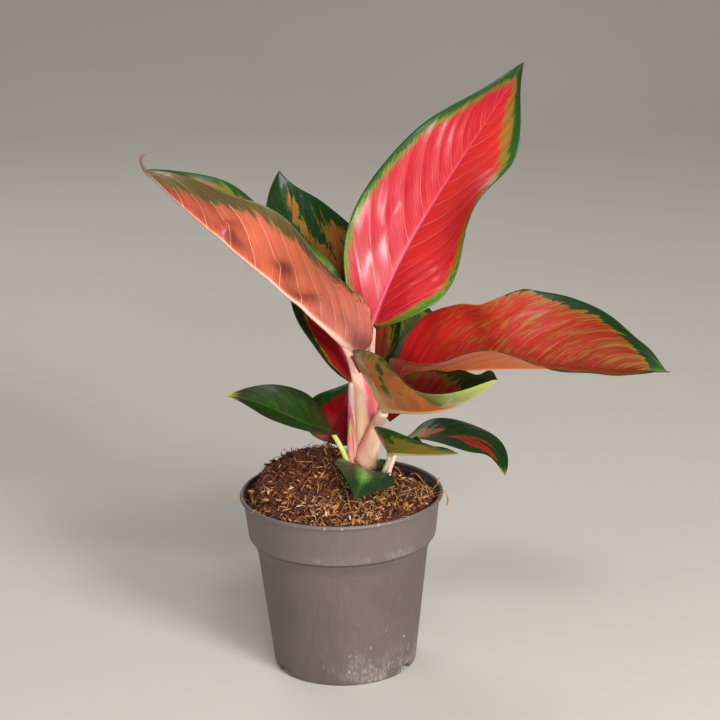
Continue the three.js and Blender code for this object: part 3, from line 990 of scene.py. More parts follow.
@dataclass(frozen=True)
class GrainFinish:
    """A rough natural finish: three tones in grains, and one patch of another colour."""

    name: str
    dark: str
    main: str
    light: str
    scale: float = 260.0
    rough: float = 0.9
    bump: float = 0.7
    depth: float = 0.0006
    patch: str = ""
    patch_centre: Point = (0, 0, 0)
    patch_reach: float = 0.01

    def material(self) -> Material:
        """Builds the grain's material.

        Returns:
            The material.
        """
        graph = Graph(self.name)
        place = graph.place()
        patches = graph.noise(place, self.scale, 3, 0.6)
        grain = graph.noise(place, self.scale * 4.5, 4, 0.7)
        colour = graph.mix(graph.ramp(patches, 0.38, 0.6), self.dark, self.main)
        colour = graph.mix(graph.ramp(grain, 0.52, 0.72, 0, 0.8), colour, self.light)
        if self.patch:
            spot = self._near_patch(graph)
            wander = graph.times_plus(grain, 0.5, graph.math("SUBTRACT", spot, 0.25))
            colour = graph.mix(graph.ramp(wander, 0.35, 0.6, 0, 0.85), colour, self.patch)
        return graph.finish(colour, self.rough, grain, self.bump, self.depth)

    def _near_patch(self, graph: Graph) -> NodeSocket:
        """Measures how near a point is to the coloured patch, 1 at its middle.

        Args:
            graph: the material's node graph.

        Returns:
            The nearness.
        """
        node = graph.nodes.new("ShaderNodeVectorMath")
        node.operation = "DISTANCE"
        graph.feed(node.inputs[0], graph.place())
        node.inputs[1].default_value = self.patch_centre
        return graph.ramp(node.outputs["Value"], 0, self.patch_reach, 1, 0)


def double_grid(name: str, rows: int, columns: int) -> Mesh:
    """Makes two flat grids, one under the other, joined round their edge.

    Args:
        name: the mesh's name.
        rows: cells along x.
        columns: cells along y.

    Returns:
        The closed mesh; the lower grid is at z = -1 and has the second material.
    """
    bm = bmesh.new()
    bmesh.ops.create_grid(bm, x_segments=rows, y_segments=columns, size=1.0)
    bmesh.ops.recalc_face_normals(bm, faces=bm.faces)
    copied = bmesh.ops.duplicate(bm, geom=bm.verts[:] + bm.edges[:] + bm.faces[:])["geom"]
    lower_faces = [item for item in copied if isinstance(item, bmesh.types.BMFace)]
    lower_points = [item for item in copied if isinstance(item, bmesh.types.BMVert)]
    bmesh.ops.translate(bm, vec=(0, 0, -1), verts=lower_points)
    bmesh.ops.reverse_faces(bm, faces=lower_faces)
    for item in lower_faces:
        item.material_index = Face.UNDER.value
    bmesh.ops.bridge_loops(bm, edges=[edge for edge in bm.edges if edge.is_boundary])
    return take_mesh(bm, name)


def wrapped_grid(name: str, rows: int, columns: int, place: Bend) -> Mesh:
    """Bends a grid round into a closed tube or dome.

    Args:
        name: the mesh's name.
        rows: cells along the first direction.
        columns: cells round the second one, which meets itself.
        place: gives a point for each pair of shares, 0 to 1; at both ends of the first
            share the points meet in one.

    Returns:
        The closed mesh, with the shares kept in the attribute "stalk".
    """
    bm = bmesh.new()
    bmesh.ops.create_grid(bm, x_segments=rows, y_segments=columns, size=1.0)
    mesh = take_mesh(bm, name)
    s, t, _ = (read_points(mesh).T + 1) / 2
    write_numbers(mesh, "stalk", (s, np.cos(2 * math.pi * t), np.sin(2 * math.pi * t)))
    mesh.vertices.foreach_set("co", place(s, t).ravel())
    with opened(mesh) as bm:
        bmesh.ops.remove_doubles(bm, verts=bm.verts, dist=MERGE)
        bmesh.ops.recalc_face_normals(bm, faces=bm.faces)
    return mesh


def smooth_path(path: Path, at: np.ndarray) -> tuple[np.ndarray, np.ndarray, np.ndarray]:
    """Runs a smooth curve through the points of a path.

    Args:
        path: x, y, z and radius at each point.
        at: places along it, 0 to 1.

    Returns:
        Points, directions and radii.
    """
    knots = np.array(path)
    ends = np.vstack([2 * knots[0] - knots[1], knots, 2 * knots[-1] - knots[-2]])
    place = at * (len(knots) - 1)
    low = np.minimum(place.astype(int), len(knots) - 2)
    f = (place - low)[:, None]
    before, start, end, after = (ends[low + i] for i in range(4))
    square = 2 * before - 5 * start + 4 * end - after
    cube = 3 * (start - end) + after - before
    curve = start + 0.5 * f * (end - before + f * (square + f * cube))
    slope = 0.5 * (end - before + 2 * f * square + 3 * f * f * cube)
    return curve[:, :3], unit(slope[:, :3]), np.maximum(curve[:, 3], 1e-5)


def tube_mesh(name: str, path: Path, sides: int, rings: int) -> Mesh:
    """Makes a closed tube along a path, with round ends and a shallow channel down its back.

    Args:
        name: the mesh's name.
        path: x, y, z and radius along it.
        sides: cells round it.
        rings: cells along each stretch of the path.

    Returns:
        The closed mesh.
    """
    spans = (len(path) - 1) * rings

    def place(s: np.ndarray, t: np.ndarray) -> np.ndarray:
        """Places the grid's points round the path.

        Args:
            s: shares of the first direction, 0 to 1.
            t: shares of the way round, 0 to 1.

        Returns:
            The points.
        """
        centre, forward, radius = smooth_path(path, s)
        across = unit(np.cross(forward, (0, 1, 0)))
        other = np.cross(forward, across)
        angle = 2 * math.pi * t
        channel = 1 - CHANNEL_DEEP * np.maximum(np.sin(angle), 0) ** 4
        from_end = np.minimum(s, 1 - s) * spans / ROUND_ROWS
        cap = np.sqrt(1 - np.clip(1 - from_end, 0, 1) ** 2)
        reach = (radius * channel * cap)[:, None]
        return centre + across * np.cos(angle)[:, None] * reach + other * np.sin(angle)[:, None] * reach

    return wrapped_grid(name, spans, sides, place)


@dataclass(frozen=True)
class Stalk:
    """A round stalk or petiole."""

    name: str
    slot: Slot
    finish: StemFinish
    path: Path
    sides: int = 14
    rings: int = 14

    def build(self) -> Object:
        """Makes the stalk with rounded ends."""
        mesh = tube_mesh(self.name, self.path, self.sides, self.rings)
        return new_object(self.name, mesh, [self.finish.material()])


@dataclass(frozen=True)
class StemBody:
    """The low ends of the upper leaves' petioles, grown together into one smooth stem.

    Each tint is a soft patch: x, y, z, its reach, and how pink and how green it is. cell is the
    size of the grid that joins the petioles, and rounds is how often the creases are smoothed.
    """

    name: str
    petioles: Sequence[Path]
    tints: Sequence[tuple[float, float, float, float, float, float]]
    cell: float = 0.0006
    rounds: int = 12
    sides: int = 24
    rings: int = 10
    cream: str = "#ffe2bc"
    pale: str = "#fdcbb2"
    top: str = "#f0bca8"
    pink: str = "#dc4058"
    green: str = "#f4de98"
    streak: str = "#eda793"

    def build(self) -> Object:
        """Joins the petioles, smooths the creases between them and tints them.

        Returns:
            The stem's object.
        """
        bm = bmesh.new()
        for index, path in enumerate(self.petioles):
            tube = tube_mesh(f"petiole_{index}", path, self.sides, self.rings)
            bm.from_mesh(tube)
            bpy.data.meshes.remove(tube)
        obj = new_object(self.name, take_mesh(bm, self.name), [self.material()])
        remesh = obj.modifiers.new("grown_together", "REMESH")
        remesh.mode = "VOXEL"
        remesh.voxel_size = self.cell
        apply_modifiers(obj)
        self._finish(obj.data)
        return obj

    def _finish(self, mesh: Mesh) -> None:
        """Softens the creases, then writes the tints.

        Args:
            mesh: the joined petioles.
        """
        axes = {f"use_axis_{axis}": True for axis in "xyz"}
        with opened(mesh) as bm:
            for _ in range(self.rounds):
                bmesh.ops.smooth_vert(bm, verts=bm.verts, factor=0.5, **axes)
        points = read_points(mesh)
        pink = np.zeros(len(points))
        green = np.zeros(len(points))
        for x, y, z, reach, pinker, greener in self.tints:
            away = (points - (x, y, z)) / (reach, 2 * reach, 1.8 * reach)
            near = np.exp(-np.sum(away**2, axis=1))
            pink = 1 - (1 - pink) * (1 - pinker * near)
            green = 1 - (1 - green) * (1 - greener * near)
        write_numbers(mesh, "tint", (pink, green, points[:, 2]))
        mesh.polygons.foreach_set("use_smooth", [True] * len(mesh.polygons))
        mesh.update()

    def material(self) -> Material:
        """Builds the stem's material from the tints, with faint streaks up the stem.

        Returns:
            The material.
        """
        graph = Graph(self.name)
        pink, green, z = graph.attribute("tint")
        broad = graph.noise(graph.place((1, 1, 0.35)), 130, 3)
        lines = graph.noise(graph.place((1, 1, 0.12)), 900, 3, 0.6)
        colour = graph.mix(graph.ramp(broad, 0.35, 0.65), self.cream, self.pale)
        colour = graph.mix(graph.ramp(z, 0.155, 0.18), colour, self.top)
        colour = graph.mix(graph.ramp(lines, 0.5, 0.8, 0, 0.3), colour, self.streak)
        ragged = graph.times_plus(graph.math("SUBTRACT", lines, 0.5), 0.4, pink)
        colour = graph.mix(graph.ramp(green, 0.1, 0.9, 0, 0.6), colour, self.green)
        colour = graph.mix(graph.ramp(ragged, 0.08, 0.95, 0, 0.95), colour, self.pink)
        graph.coat(0.1, 0.3)
        return graph.finish(colour, 0.38, lines, 0.2, 0.0002)


@dataclass(frozen=True)
class Sheath:
    """A thin wing of a petiole that wraps part of the stem and narrows to its tip.

    path is the stem that it wraps; facing is the side that it covers, in degrees from +X;
    span is how much of the round it covers at the foot and towards the tip.
    """

    name: str
    finish: StemFinish
    path: Path
    facing: float
    span: Pair
    flare: float = 0.0008
    thick: float = 0.0006
    rows: int = 40
    columns: int = 22

    def build(self) -> Object:
        """Makes the wing as one thin closed piece.

        Returns:
            The wing's object.
        """
        mesh = double_grid(self.name, self.rows, self.columns)
        x, y, z = read_points(mesh).T
        s = (x + 1) / 2
        centre, forward, radius = smooth_path(self.path, s)
        span = self.span[0] * (1 - s) + self.span[1] * s
        close = np.sqrt(np.clip(1 - s**4, 0.0004, 1))
        angle = np.radians(self.facing) + np.radians(span) / 2 * y * close
        out = np.stack([np.cos(angle), np.sin(angle), np.zeros_like(angle)], axis=-1)
        out = unit(out - forward * np.sum(out * forward, axis=-1, keepdims=True))
        under = z < -0.5
        reach = radius + self.flare * np.abs(y) ** 3 + 0.0003 * np.sin(9 * s + 2 * y)
        reach = reach + np.where(under, 0, self.thick * (1 - 0.6 * np.abs(y)))
        mesh.vertices.foreach_set("co", (centre + out * reach[:, None]).ravel())
        write_numbers(mesh, "stalk", (s, y, 0 * s))
        mesh.update()
        with opened(mesh) as bm:
            bmesh.ops.recalc_face_normals(bm, faces=bm.faces)
        material = self.finish.material()
        return new_object(self.name, mesh, [material, material])


# The darker heart towards the base is painted shade from the fold.
RED_UPPER = LeafFinish(
    "red_upper", left="#b81428", right="#c82020", heart="#ae1024", margin="#183a14", light="#335c1c",
    seam="#6e7e20", vein="#f4a79a", rib="#e8607e", streak="#dc4a40", heart_to=0.35, flecks=0.95,
    fleck_reach=11, tip_flecks=6.0, jag=2.8, blot=2.0, seam_wide=1.0, vein_show=0.5, rib_show=0.4,
    rough=0.38, coat=0.45, coat_rough=0.2, base_margin="#4c741a",
)
RED_UNDER = LeafFinish(
    "red_under", left="#d06a54", right="#c65a48", heart="#d98a78", margin="#5b5a34", light="#74703c",
    seam="#857743", vein="#eec6a8", rib="#efb3a2", streak="#b65242", rib_wide=1.2, rough=0.45, coat=0.05,
)
# The hollow colour here is painted shade in the creases of the left leaf's underside.
SALMON_UNDER = LeafFinish(
    "salmon_under", left="#ca6444", right="#ca6444", heart="#e68678", margin="#42391a", light="#6c582a",
    seam="#6e5c2e", vein="#fbe2b8", rib="#fcccb6", streak="#bc4a38", streaks=0.6, flecks=0.9, fleck_reach=9,
    jag=3.0, blot=4.4, seam_wide=0.9, dashes=0.8, dash_reach=16, vein_show=0.85, rib_show=0.95, rib_tip=0.2,
    fade="#6c2814", rough=0.38, hairs=0.7, hollow="#7a281e",
)
STREAKED_UPPER = LeafFinish(
    "streaked_upper", left="#a61616", right="#a21414", heart="#cc0822", margin="#12260f", light="#254419",
    seam="#7c6e1c", vein="#e0825e", rib="#bc2840", streak="#7e7028", heart_to=0.5, flecks=0.7,
    fleck_reach=12, jag=1.0, blot=3.4, seam_wide=0.35, vein_show=0.5, rib_show=0.5, rough=0.46, coat=0.04,
    base_streaks=0.1, streak_from=0.4, hairs=0.35, lines=0.8, tooth=0.3, fade="#801c10", shine=0.2,
    tip="#3c6c22", tip_from=0.93,
)
ORANGE_UNDER = LeafFinish(
    "orange_under", left="#dc7038", right="#d66a34", heart="#a01414", margin="#2c2818", light="#3a3220",
    seam="#8a6232", vein="#e0a078", rib="#e88a6c", streak="#b45434", heart_to=0.32, vein_show=0.3,
    rib_wide=1.2, rough=0.45, coat=0.05,
)
DARK_UPPER = LeafFinish(
    "dark_upper", left="#8e1014", right="#7a0e12", heart="#a01218", margin="#1a270d", light="#26370f",
    seam="#6c5a1c", vein="#a0502c", rib="#8f3028", streak="#5c4a18", streaks=0.6, flecks=0.9, jag=2.4,
    blot=2.4,
)
OLIVE_UNDER = LeafFinish(
    "olive_under", left="#c8713a", right="#c06a36", heart="#dccf86", margin="#2c4018", light="#4a6028",
    seam="#6a7228", vein="#d8aa62", rib="#e4d898", streak="#8c6630", heart_to=0.26, streaks=0.7,
    flecks=0.95, fleck_reach=9, jag=3.6, blot=6.0, seam_wide=0.8, dashes=0.5, vein_show=0.3, rib_wide=1.4,
    rib_tip=0.5, tip="#b2bc4c", tip_from=0.62, rough=0.34, coat=0.4, soft=3.0,
)
GREEN_PATCHED = LeafFinish(
    "green_patched", left="#b04426", right="#b84a26", heart="#7d1a1a", margin="#0e2a0c", light="#1a4214",
    seam="#8a6b20", vein="#c8933c", rib="#2c4a1a", streak="#a8741e", heart_to=0.5, streaks=0.8, flecks=1.1,
    fleck_reach=14, jag=4.6, blot=5.6, seam_wide=0.9, vein_show=0.25, rib_show=0.5,
)
GREEN_UNDER = LeafFinish(
    "green_under", left="#80693c", right="#7c6238", heart="#8f7a44", margin="#34521f", light="#476428",
    seam="#6c6c34", vein="#a8a860", rib="#b0b06c", streak="#566830", streaks=0.5, flecks=0.8, jag=1.8,
    blot=3.0, vein_show=0.3, rib_wide=1.2, rough=0.42, coat=0.1,
)
DEEP_RED = LeafFinish(
    "deep_red", left="#8a0e12", right="#8a0e12", heart="#840c18", margin="#0f260c", light="#1c3a12",
    seam="#8f7c20", vein="#a8402e", rib="#b03040", streak="#641a10", streaks=0.4, flecks=0.8, fleck_reach=4,
    jag=1.8, blot=2.0, seam_wide=0.9, vein_show=0.3,
)
FOLD_RED = LeafFinish(
    "fold_red", left="#6a0c0c", right="#6a0c0c", heart="#5a0a0c", margin="#3a3a14", light="#4c4c1c",
    seam="#6a5a1c", vein="#7c2018", rib="#6a0c0c", streak="#4a0a0a", vein_show=0.1, rib_show=0.1, coat=0.05,
)
SPECKLED_UPPER = LeafFinish(
    "speckled_upper", left="#4a5228", right="#444c26", heart="#5c5a28", margin="#1c3218", light="#2a4426",
    seam="#8c8434", vein="#6c6c38", rib="#5c6832", streak="#a0903c", streaks=0.9, flecks=1.1,
    fleck_reach=18, jag=3.0, blot=4.0, vein_show=0.2, shine=0.2,
)
LOW_GREEN = LeafFinish(
    "low_green", left="#182e08", right="#182e08", heart="#1a3008", margin="#142608", light="#1e340a",
    seam="#223c0c", vein="#4c7028", rib="#2c5a16", streak="#2f6018", streaks=0.4, flecks=0.2, jag=1.0,
    vein_show=0.2, rib_show=0.5, tip="#b3b35a", tip_from=0.88, rough=0.32, coat=0.25, shine=0.2,
)
CRIMSON = LeafFinish(
    "crimson", left="#900818", right="#800412", heart="#6c040e", margin="#17380f", light="#24521a",
    seam="#24400f", vein="#8c1c26", rib="#24400f", streak="#a00c18", fleck_reach=4, jag=1.2, blot=2.0,
    teeth=2.4, seam_wide=0.3, vein_show=0.15, rib_wide=0.7, rib_show=0.15, coat=0.05, shine=0.15,
)
LIME_UNDER = LeafFinish(
    "lime_under", left="#8a6e2c", right="#866a28", heart="#cdbb78", margin="#1b3a10", light="#345218",
    seam="#5c7a20", vein="#9a9058", rib="#e8dca0", streak="#56702a", heart_to=0.3, streaks=0.5, flecks=0.95,
    fleck_reach=5, jag=3.2, blot=5.0, seam_wide=0.8, vein_show=0.2, rib_wide=1.0, coat=0.2,
)
RED_SPLASHED = LeafFinish(
    "red_splashed", left="#9e0814", right="#a40814", heart="#7c7a1e", margin="#0d280a", light="#163c10",
    seam="#263c12", vein="#183410", rib="#1a4014", streak="#12300f", streaks=0.7, flecks=0.6, fleck_reach=4,
    jag=3.0, blot=3.4, seam_wide=0.2, vein_show=0.15, rib_show=0.5, tip="#a89a44", tip_from=0.96,
    rough=0.32, coat=0.1, shine=0.15, heart_to=0.44,
)
LIGHT_STRIPED = LeafFinish(
    "light_striped", left="#8ca04a", right="#7c9644", heart="#4c7034", margin="#16301a", light="#223e1e",
    seam="#4c8034", vein="#5f8a42", rib="#8aa850", streak="#558a3a", streaks=0.5, flecks=0.6, fleck_reach=5,
    jag=1.6, blot=1.2, seam_wide=0.1, vein_show=0.12, rib_show=0.2, rough=0.32, coat=0.2, shine=0.2,
    soft=5.5,
)
FOLD_SIDE = Side((10, 10), (10, 10), (0, 1, 0), (-0.004, -0.004, -0.004))
SCALE_SIDE = Side((12, 8), (10, 10), (0, 1, 0), (0.001, 0.001, 0.001))
PLAIN_SIDE = Side((25, 25), (10, 10), (0.001, 1.5, 0), (0.003, 0.004, 0.01))
LEAVES = (
    Blade(
        "tall_leaf", Slot.RED, RED_UPPER, RED_UNDER,
        rib=((0.021, 0.006, 0.206), (0.042, 0.019, 0.262), (0.084, 0.044, 0.303), (0.111, 0.049, 0.349)),
        face=((-0.14, -0.92, 0.37), (-0.4, -0.81, 0.42)), half=0.038, rise=0.55, fall=0.92, ridge=0.0012,
        left=Side(
            (22, -12), (19, -9), (0.0038, 1.6, 0.24), (0.0008, 0.0028, 0.0062),
            veins=(0.06, 0.17, 0.28, 0.38, 0.48, 0.55, 0.61, 0.72, 0.8),
        ),
        right=Side(
            (25, 7), (8, 26), (0.0082, 1.78, 0.43), (0.003, 0.0014, 0.005),
            veins=(0.04, 0.1, 0.16, 0.26, 0.34, 0.42, 0.51, 0.57, 0.65, 0.74),
        ),
        patches=(
            (0.78, 0.85, 0.13, 0.3, -2.8), (0.1, 0.9, 0.07, 0.3, -2.0), (0.5, -0.9, 0.15, 0.2, -1.0),
            (1.0, 0.0, 0.055, 0.9, -5.0),
        ),
        dents=(
            (0.3, -0.45, 0.05, 0.12, 0.0007), (0.42, -0.6, 0.06, 0.15, -0.0008),
            (0.2, -0.5, 0.05, 0.15, 0.0006), (0.16, 0.5, 0.06, 0.2, 0.0008), (0.6, -0.5, 0.06, 0.2, 0.0007),
            (0.36, 0.5, 0.05, 0.2, -0.0006),
        ),
        start=3.0,
    ),
    Blade(
        "left_leaf", Slot.SALMON, RED_UPPER, SALMON_UNDER,
        rib=(
            (0.0068, 0.0102, 0.1893), (-0.024, -0.023, 0.233), (-0.073, -0.016, 0.269),
            (-0.103, -0.03, 0.307),
        ),
        face=((0.74, 0.2, 0.64), (0.56, 0.38, 0.74)), half=0.04, rise=0.49, fall=0.87, ridge=0.0018,
        left=Side(
            (39, 53), (-10, 15), (0.0044, 2.43, -0.13), (-0.003, 0.0042, 0.0092),
            veins=(0.02, 0.08, 0.16, 0.26, 0.36, 0.47, 0.58, 0.69, 0.8),
        ),
        right=Side(
            (52, 60), (-3, 6), (0.0055, 1.7, -0.04), (0.0028, 0.0038, 0.0035), (0.04, 0.66, 0.87),
            veins=(0.04, 0.12, 0.21, 0.31, 0.42, 0.53, 0.64, 0.75),
        ),
        patches=(
            (0.52, -0.95, 0.07, 0.3, -3.0), (0.82, -0.8, 0.12, 0.4, -4.0), (0.36, -0.9, 0.05, 0.2, -1.5),
        ),
        dents=(
            (0.64, -0.24, 0.03, 0.17, 0.0044), (0.415, -0.26, 0.035, 0.17, 0.0046),
            (0.26, -0.2, 0.03, 0.15, 0.0034), (0.56, -0.3, 0.03, 0.2, -0.0014),
            (0.34, -0.3, 0.035, 0.2, -0.0015), (0.76, -0.3, 0.04, 0.2, 0.0012),
            (0.12, -0.35, 0.05, 0.2, 0.0012),
        ),
        # Painted shade in the creases between the underside's bulges.
        painted_crease_shades=(
            (0.605, -0.15, 0.065, 0.15, 0.95), (0.405, -0.25, 0.043, 0.18, 0.95),
            (0.29, -0.13, 0.06, 0.12, 0.85), (0.76, -0.16, 0.08, 0.15, 0.55),
        ),
        flare=0.0075, start=11.0,
    ),
    Blade(
        "right_leaf", Slot.RED, STREAKED_UPPER, ORANGE_UNDER,
        rib=((0.033, 0.027, 0.164), (0.063, -0.004, 0.185), (0.117, -0.01, 0.183), (0.188, -0.029, 0.184)),
        face=((0.65, -0.4, 0.62), (0.17, -0.55, 0.81)), half=0.0436, rise=0.73, fall=0.62, ridge=0.0015,
        left=Side(
            (82, 42, 40), (39, 11), (0.0057, 2.1, 0.32), (-0.014, -0.0012, 0.0088),
            veins=(0.03, 0.09, 0.16, 0.24, 0.33, 0.42, 0.5, 0.59, 0.68, 0.78),
            bumps=((0.44, 0.05, -0.003), (0.57, 0.04, 0.002), (0.92, 0.06, -0.0045), (0.985, 0.03, -0.005)),
        ),
        right=Side(
            (40, 59, 42), (-27, -15, -16), (0.0037, 2.44, 0.01), (0.0006, 0.0008, 0.004),
            bumps=((0.97, 0.05, -0.014), (0.87, 0.06, 0.004)),
        ),
        patches=((0.68, -1.0, 0.09, 0.25, -2.4), (0.99, 0.0, 0.045, 0.9, -9.0)),
        dents=(
            (0.4, -0.7, 0.05, 0.35, -0.0022), (0.5, -0.8, 0.05, 0.3, 0.0016),
            (0.27, -0.6, 0.05, 0.3, 0.0012), (0.56, -0.95, 0.03, 0.2, 0.0012),
            (0.87, 1.0, 0.06, 0.6, -0.003),
        ),
        pillow=0.0007, start=21.0,
    ),
    Blade(
        "curled_leaf", Slot.OLIVE, DARK_UPPER, OLIVE_UNDER,
        rib=((0.026, -0.007, 0.157), (0.035, -0.045, 0.172), (0.057, -0.057, 0.163), (0.086, -0.09, 0.201)),
        face=((-0.24, 0.3, 0.91), (-0.13, -0.3, 0.93)), half=0.045, rise=0.39, fall=0.81, ridge=0.0013,
        left=Side(
            (60, 56, 50), (10, 10), (0.002, 1.54, 0.04), (0.0, 0.001, 0.003), (0.0238, 0.44, 0.42),
            bumps=((0.74, 0.12, -0.0022), (0.92, 0.07, -0.0062)),
        ),
        right=Side((64, 46, 27), (34, 24), (0.0047, 1.45, 1.53), (0.0015, 0.0028, 0.012)),
        patches=(
            (0.39, 0.74, 0.028, 0.09, -21.0), (0.345, 0.6, 0.024, 0.09, -21.0),
            (0.31, 0.42, 0.055, 0.09, -22.0), (0.3, 0.3, 0.045, 0.07, -20.0),
            (0.46, 0.41, 0.028, 0.05, -22.0), (0.72, 0.6, 0.08, 0.35, -19.0), (0.88, 0.4, 0.09, 0.6, -19.0),
            (0.95, -0.35, 0.25, 0.45, -13.0),
        ),
        dents=((0.62, 0.6, 0.05, 0.3, 0.002), (0.74, 0.4, 0.06, 0.3, -0.0018)),
        pillow=0.0007, flare=0.0016, tip_wide=0.0024, start=31.0,
    ),
    # The lobe's dark red is partly its underside's own red and partly painted shade under the joint.
    Blade(
        "curled_leaf_lobe", Slot.OLIVE, FOLD_RED, FOLD_RED,
        rib=(
            (0.0276, -0.005, 0.1566), (0.0284, -0.004, 0.1545), (0.029, -0.003, 0.1525),
            (0.0296, -0.002, 0.1492),
        ),
        face=((0, -0.9, 0.4), (0, -0.9, 0.4)), half=0.0018, rise=0.4, fall=0.6, ridge=0.0001,
        left=Side((10, 10), (10, 10), (0, 1, 0), (-0.004, -0.004, -0.004), (0.0104, 0.25, 1.1)),
        right=FOLD_SIDE, pillow=0.0, replaces_node=False, rows=24, columns=8, start=131.0,
    ),
    Blade(
        "curled_leaf_inner_fold", Slot.OLIVE, FOLD_RED, FOLD_RED,
        rib=(
            (0.0096, 0.0035, 0.1885), (0.0106, 0.0035, 0.185), (0.0116, 0.0035, 0.181),
            (0.0126, 0.0035, 0.1775),
        ),
        face=((0, -0.95, 0.3), (0, -0.95, 0.3)), half=0.0019, rise=0.3, fall=0.7, ridge=0.0001, flare=0.0,
        left=FOLD_SIDE, right=FOLD_SIDE, pillow=0.0, replaces_node=False, rows=24, columns=8, start=135.0,
    ),
    Blade(
        "back_tall_leaf", Slot.GREEN, GREEN_PATCHED, GREEN_UNDER,
        rib=((0.023, 0.034, 0.172), (0.018, 0.044, 0.221), (-0.04, 0.074, 0.246), (-0.033, 0.075, 0.283)),
        face=((-0.11, -0.96, 0.27), (0.44, -0.89, 0.11)), half=0.033, rise=0.56, fall=0.92, ridge=0.0012,
        left=Side((18, 24), (8, 23), (-0.0003, 1.5, 0), (0.012, 0.034, 0.03)),
        right=Side((27, 17), (21, 22), (-0.0026, 1.45, -0.13), (0.003, 0.027, 0.024)),
        patches=(
            (0.8, 0.3, 0.1, 0.2, 9.0), (0.68, 0.12, 0.09, 0.12, 9.0), (0.56, 0.6, 0.09, 0.3, 6.5),
            (0.42, 0.5, 0.12, 0.35, 9.0), (0.1, 0.4, 0.1, 0.5, 4.0),
        ),
        start=43.0,
    ),
    Blade(
        "back_left_leaf", Slot.GREEN, DEEP_RED, GREEN_UNDER,
        rib=((0.0076, 0.0095, 0.1704), (0.002, 0.038, 0.198), (-0.024, 0.031, 0.216), (-0.02, 0.048, 0.24)),
        face=((-0.06, -0.77, 0.64), (0.27, -0.59, 0.76)), half=0.028, rise=0.56, fall=0.91, ridge=0.0011,
        left=Side((37, 22), (23, 18), (0.0013, 1.5, -0.1), (0.004, 0.0095, 0.012)),
        right=Side((0, 20, 25, 15), (20, 10), (0.0002, 1.5, 0), (0.003, 0.006, 0.01), (0.022, 0.95, 0.8)),
        rows=100, columns=28, start=51.0,
    ),
    Blade(
        "back_right_leaf", Slot.SPECKLED, SPECKLED_UPPER, GREEN_UNDER,
        rib=((0.027, 0.036, 0.168), (0.039, 0.057, 0.187), (0.05, 0.079, 0.19), (0.062, 0.1, 0.182)),
        face=((-0.3, -0.6, 0.74), (0.3, -0.3, 0.9)), half=0.024, rise=0.55, fall=0.9, ridge=0.0011,
        left=PLAIN_SIDE, right=PLAIN_SIDE, rows=90, columns=26, start=63.0,
    ),
    Blade(
        "low_left_leaf", Slot.GREEN, LOW_GREEN, GREEN_UNDER,
        rib=(
            (-0.005, -0.002, 0.144), (-0.023, -0.022, 0.154), (-0.04, -0.013, 0.167),
            (-0.064, -0.021, 0.173),
        ),
        face=((0.12, -0.4, 0.91), (-0.3, -0.4, 0.87)), half=0.0196, rise=0.54, fall=0.97, ridge=0.0007,
        left=Side((24, 14), (14, 9), (-0.0005, 1.56, 0.07), (0.003, 0.006, 0.006)),
        right=Side((21, 12), (9, 6), (0.0014, 1.58, 0.07), (0.003, 0.006, 0.006)),
        veins=7, rows=80, columns=24, pillow=0.0003, start=71.0,
    ),
    Blade(
        "low_back_leaf", Slot.DARK_RED, CRIMSON, GREEN_UNDER,
        rib=((-0.008, 0.023, 0.129), (-0.006, 0.024, 0.135), (0.006, 0.038, 0.152), (0.005, 0.052, 0.156)),
        face=((-0.05, -0.87, 0.49), (-0.16, -0.58, 0.8)), half=0.02, rise=0.56, fall=0.88, ridge=0.0005,
        left=Side((17, 7), (11, 6), (-0.001, 1.5, 0), (0.003, 0.0085, 0.008)),
        right=Side((14, 10), (9, 10), (0.0004, 1.5, 0), (0.003, 0.004, 0.008)),
        veins=7, rows=80, columns=24, start=83.0,
    ),
    Blade(
        "low_right_leaf", Slot.OLIVE, LOW_GREEN, LIME_UNDER,
        rib=(
            (0.029, -0.011, 0.131), (0.024, -0.024, 0.139), (0.042, -0.034, 0.138), (0.067, -0.046, 0.144),
        ),
        face=((0.02, 0.21, 0.98), (0.2, 0.18, 0.96)), half=0.019, rise=0.52, fall=0.94, ridge=0.0008,
        left=Side((23, 21), (5, 3), (0.0024, 1.44, -0.12), (0.002, 0.006, 0.009)),
        right=Side((61, 34), (10, 6), (-0.0002, 1.5, -0.03), (0.001, 0.002, 0.003)),
        patches=(
            (0.36, 0.78, 0.07, 0.2, -19.0), (0.42, 0.5, 0.04, 0.1, -18.0), (0.8, -0.7, 0.12, 0.3, -12.0),
            (0.6, 0.9, 0.2, 0.12, -6.0),
        ),
        veins=7, rows=80, columns=24, flare=0.001, start=91.0,
    ),
    Blade(
        "far_right_leaf", Slot.GREEN, RED_SPLASHED, LIME_UNDER,
        rib=((0.037, 0.018, 0.131), (0.053, 0.011, 0.133), (0.094, 0.02, 0.145), (0.097, 0.007, 0.111)),
        face=((-0.06, 0.13, 0.99), (0.58, -0.41, 0.7)), half=0.019, rise=0.55, fall=0.89, ridge=0.0008,
        left=Side((13, -2), (-6, -7), (0.0024, 1.39, -0.11), (0.02, 0.03, 0.02)),
        right=Side((16, -8), (-3, -5), (0.0015, 1.43, -0.05), (0.02, 0.026, 0.02)),
        patches=(
            (0.3, -0.3, 0.09, 0.12, 12.0), (0.48, 0.26, 0.12, 0.12, 13.0), (0.64, 0.52, 0.12, 0.16, 15.0),
            (0.8, 0.66, 0.1, 0.16, 15.0), (0.7, 0.12, 0.14, 0.09, 11.0), (0.13, 0.3, 0.13, 0.5, 13.0),
            (0.14, -0.35, 0.12, 0.4, 13.0),
        ),
        veins=7, rows=90, columns=24, start=103.0,
    ),
    Blade(
        "front_low_leaf", Slot.GREEN, LIGHT_STRIPED, GREEN_UNDER,
        rib=(
            (0.016, -0.001, 0.1185), (0.013, -0.016, 0.1275), (0.015, -0.027, 0.125),
            (0.008, -0.043, 0.117),
        ),
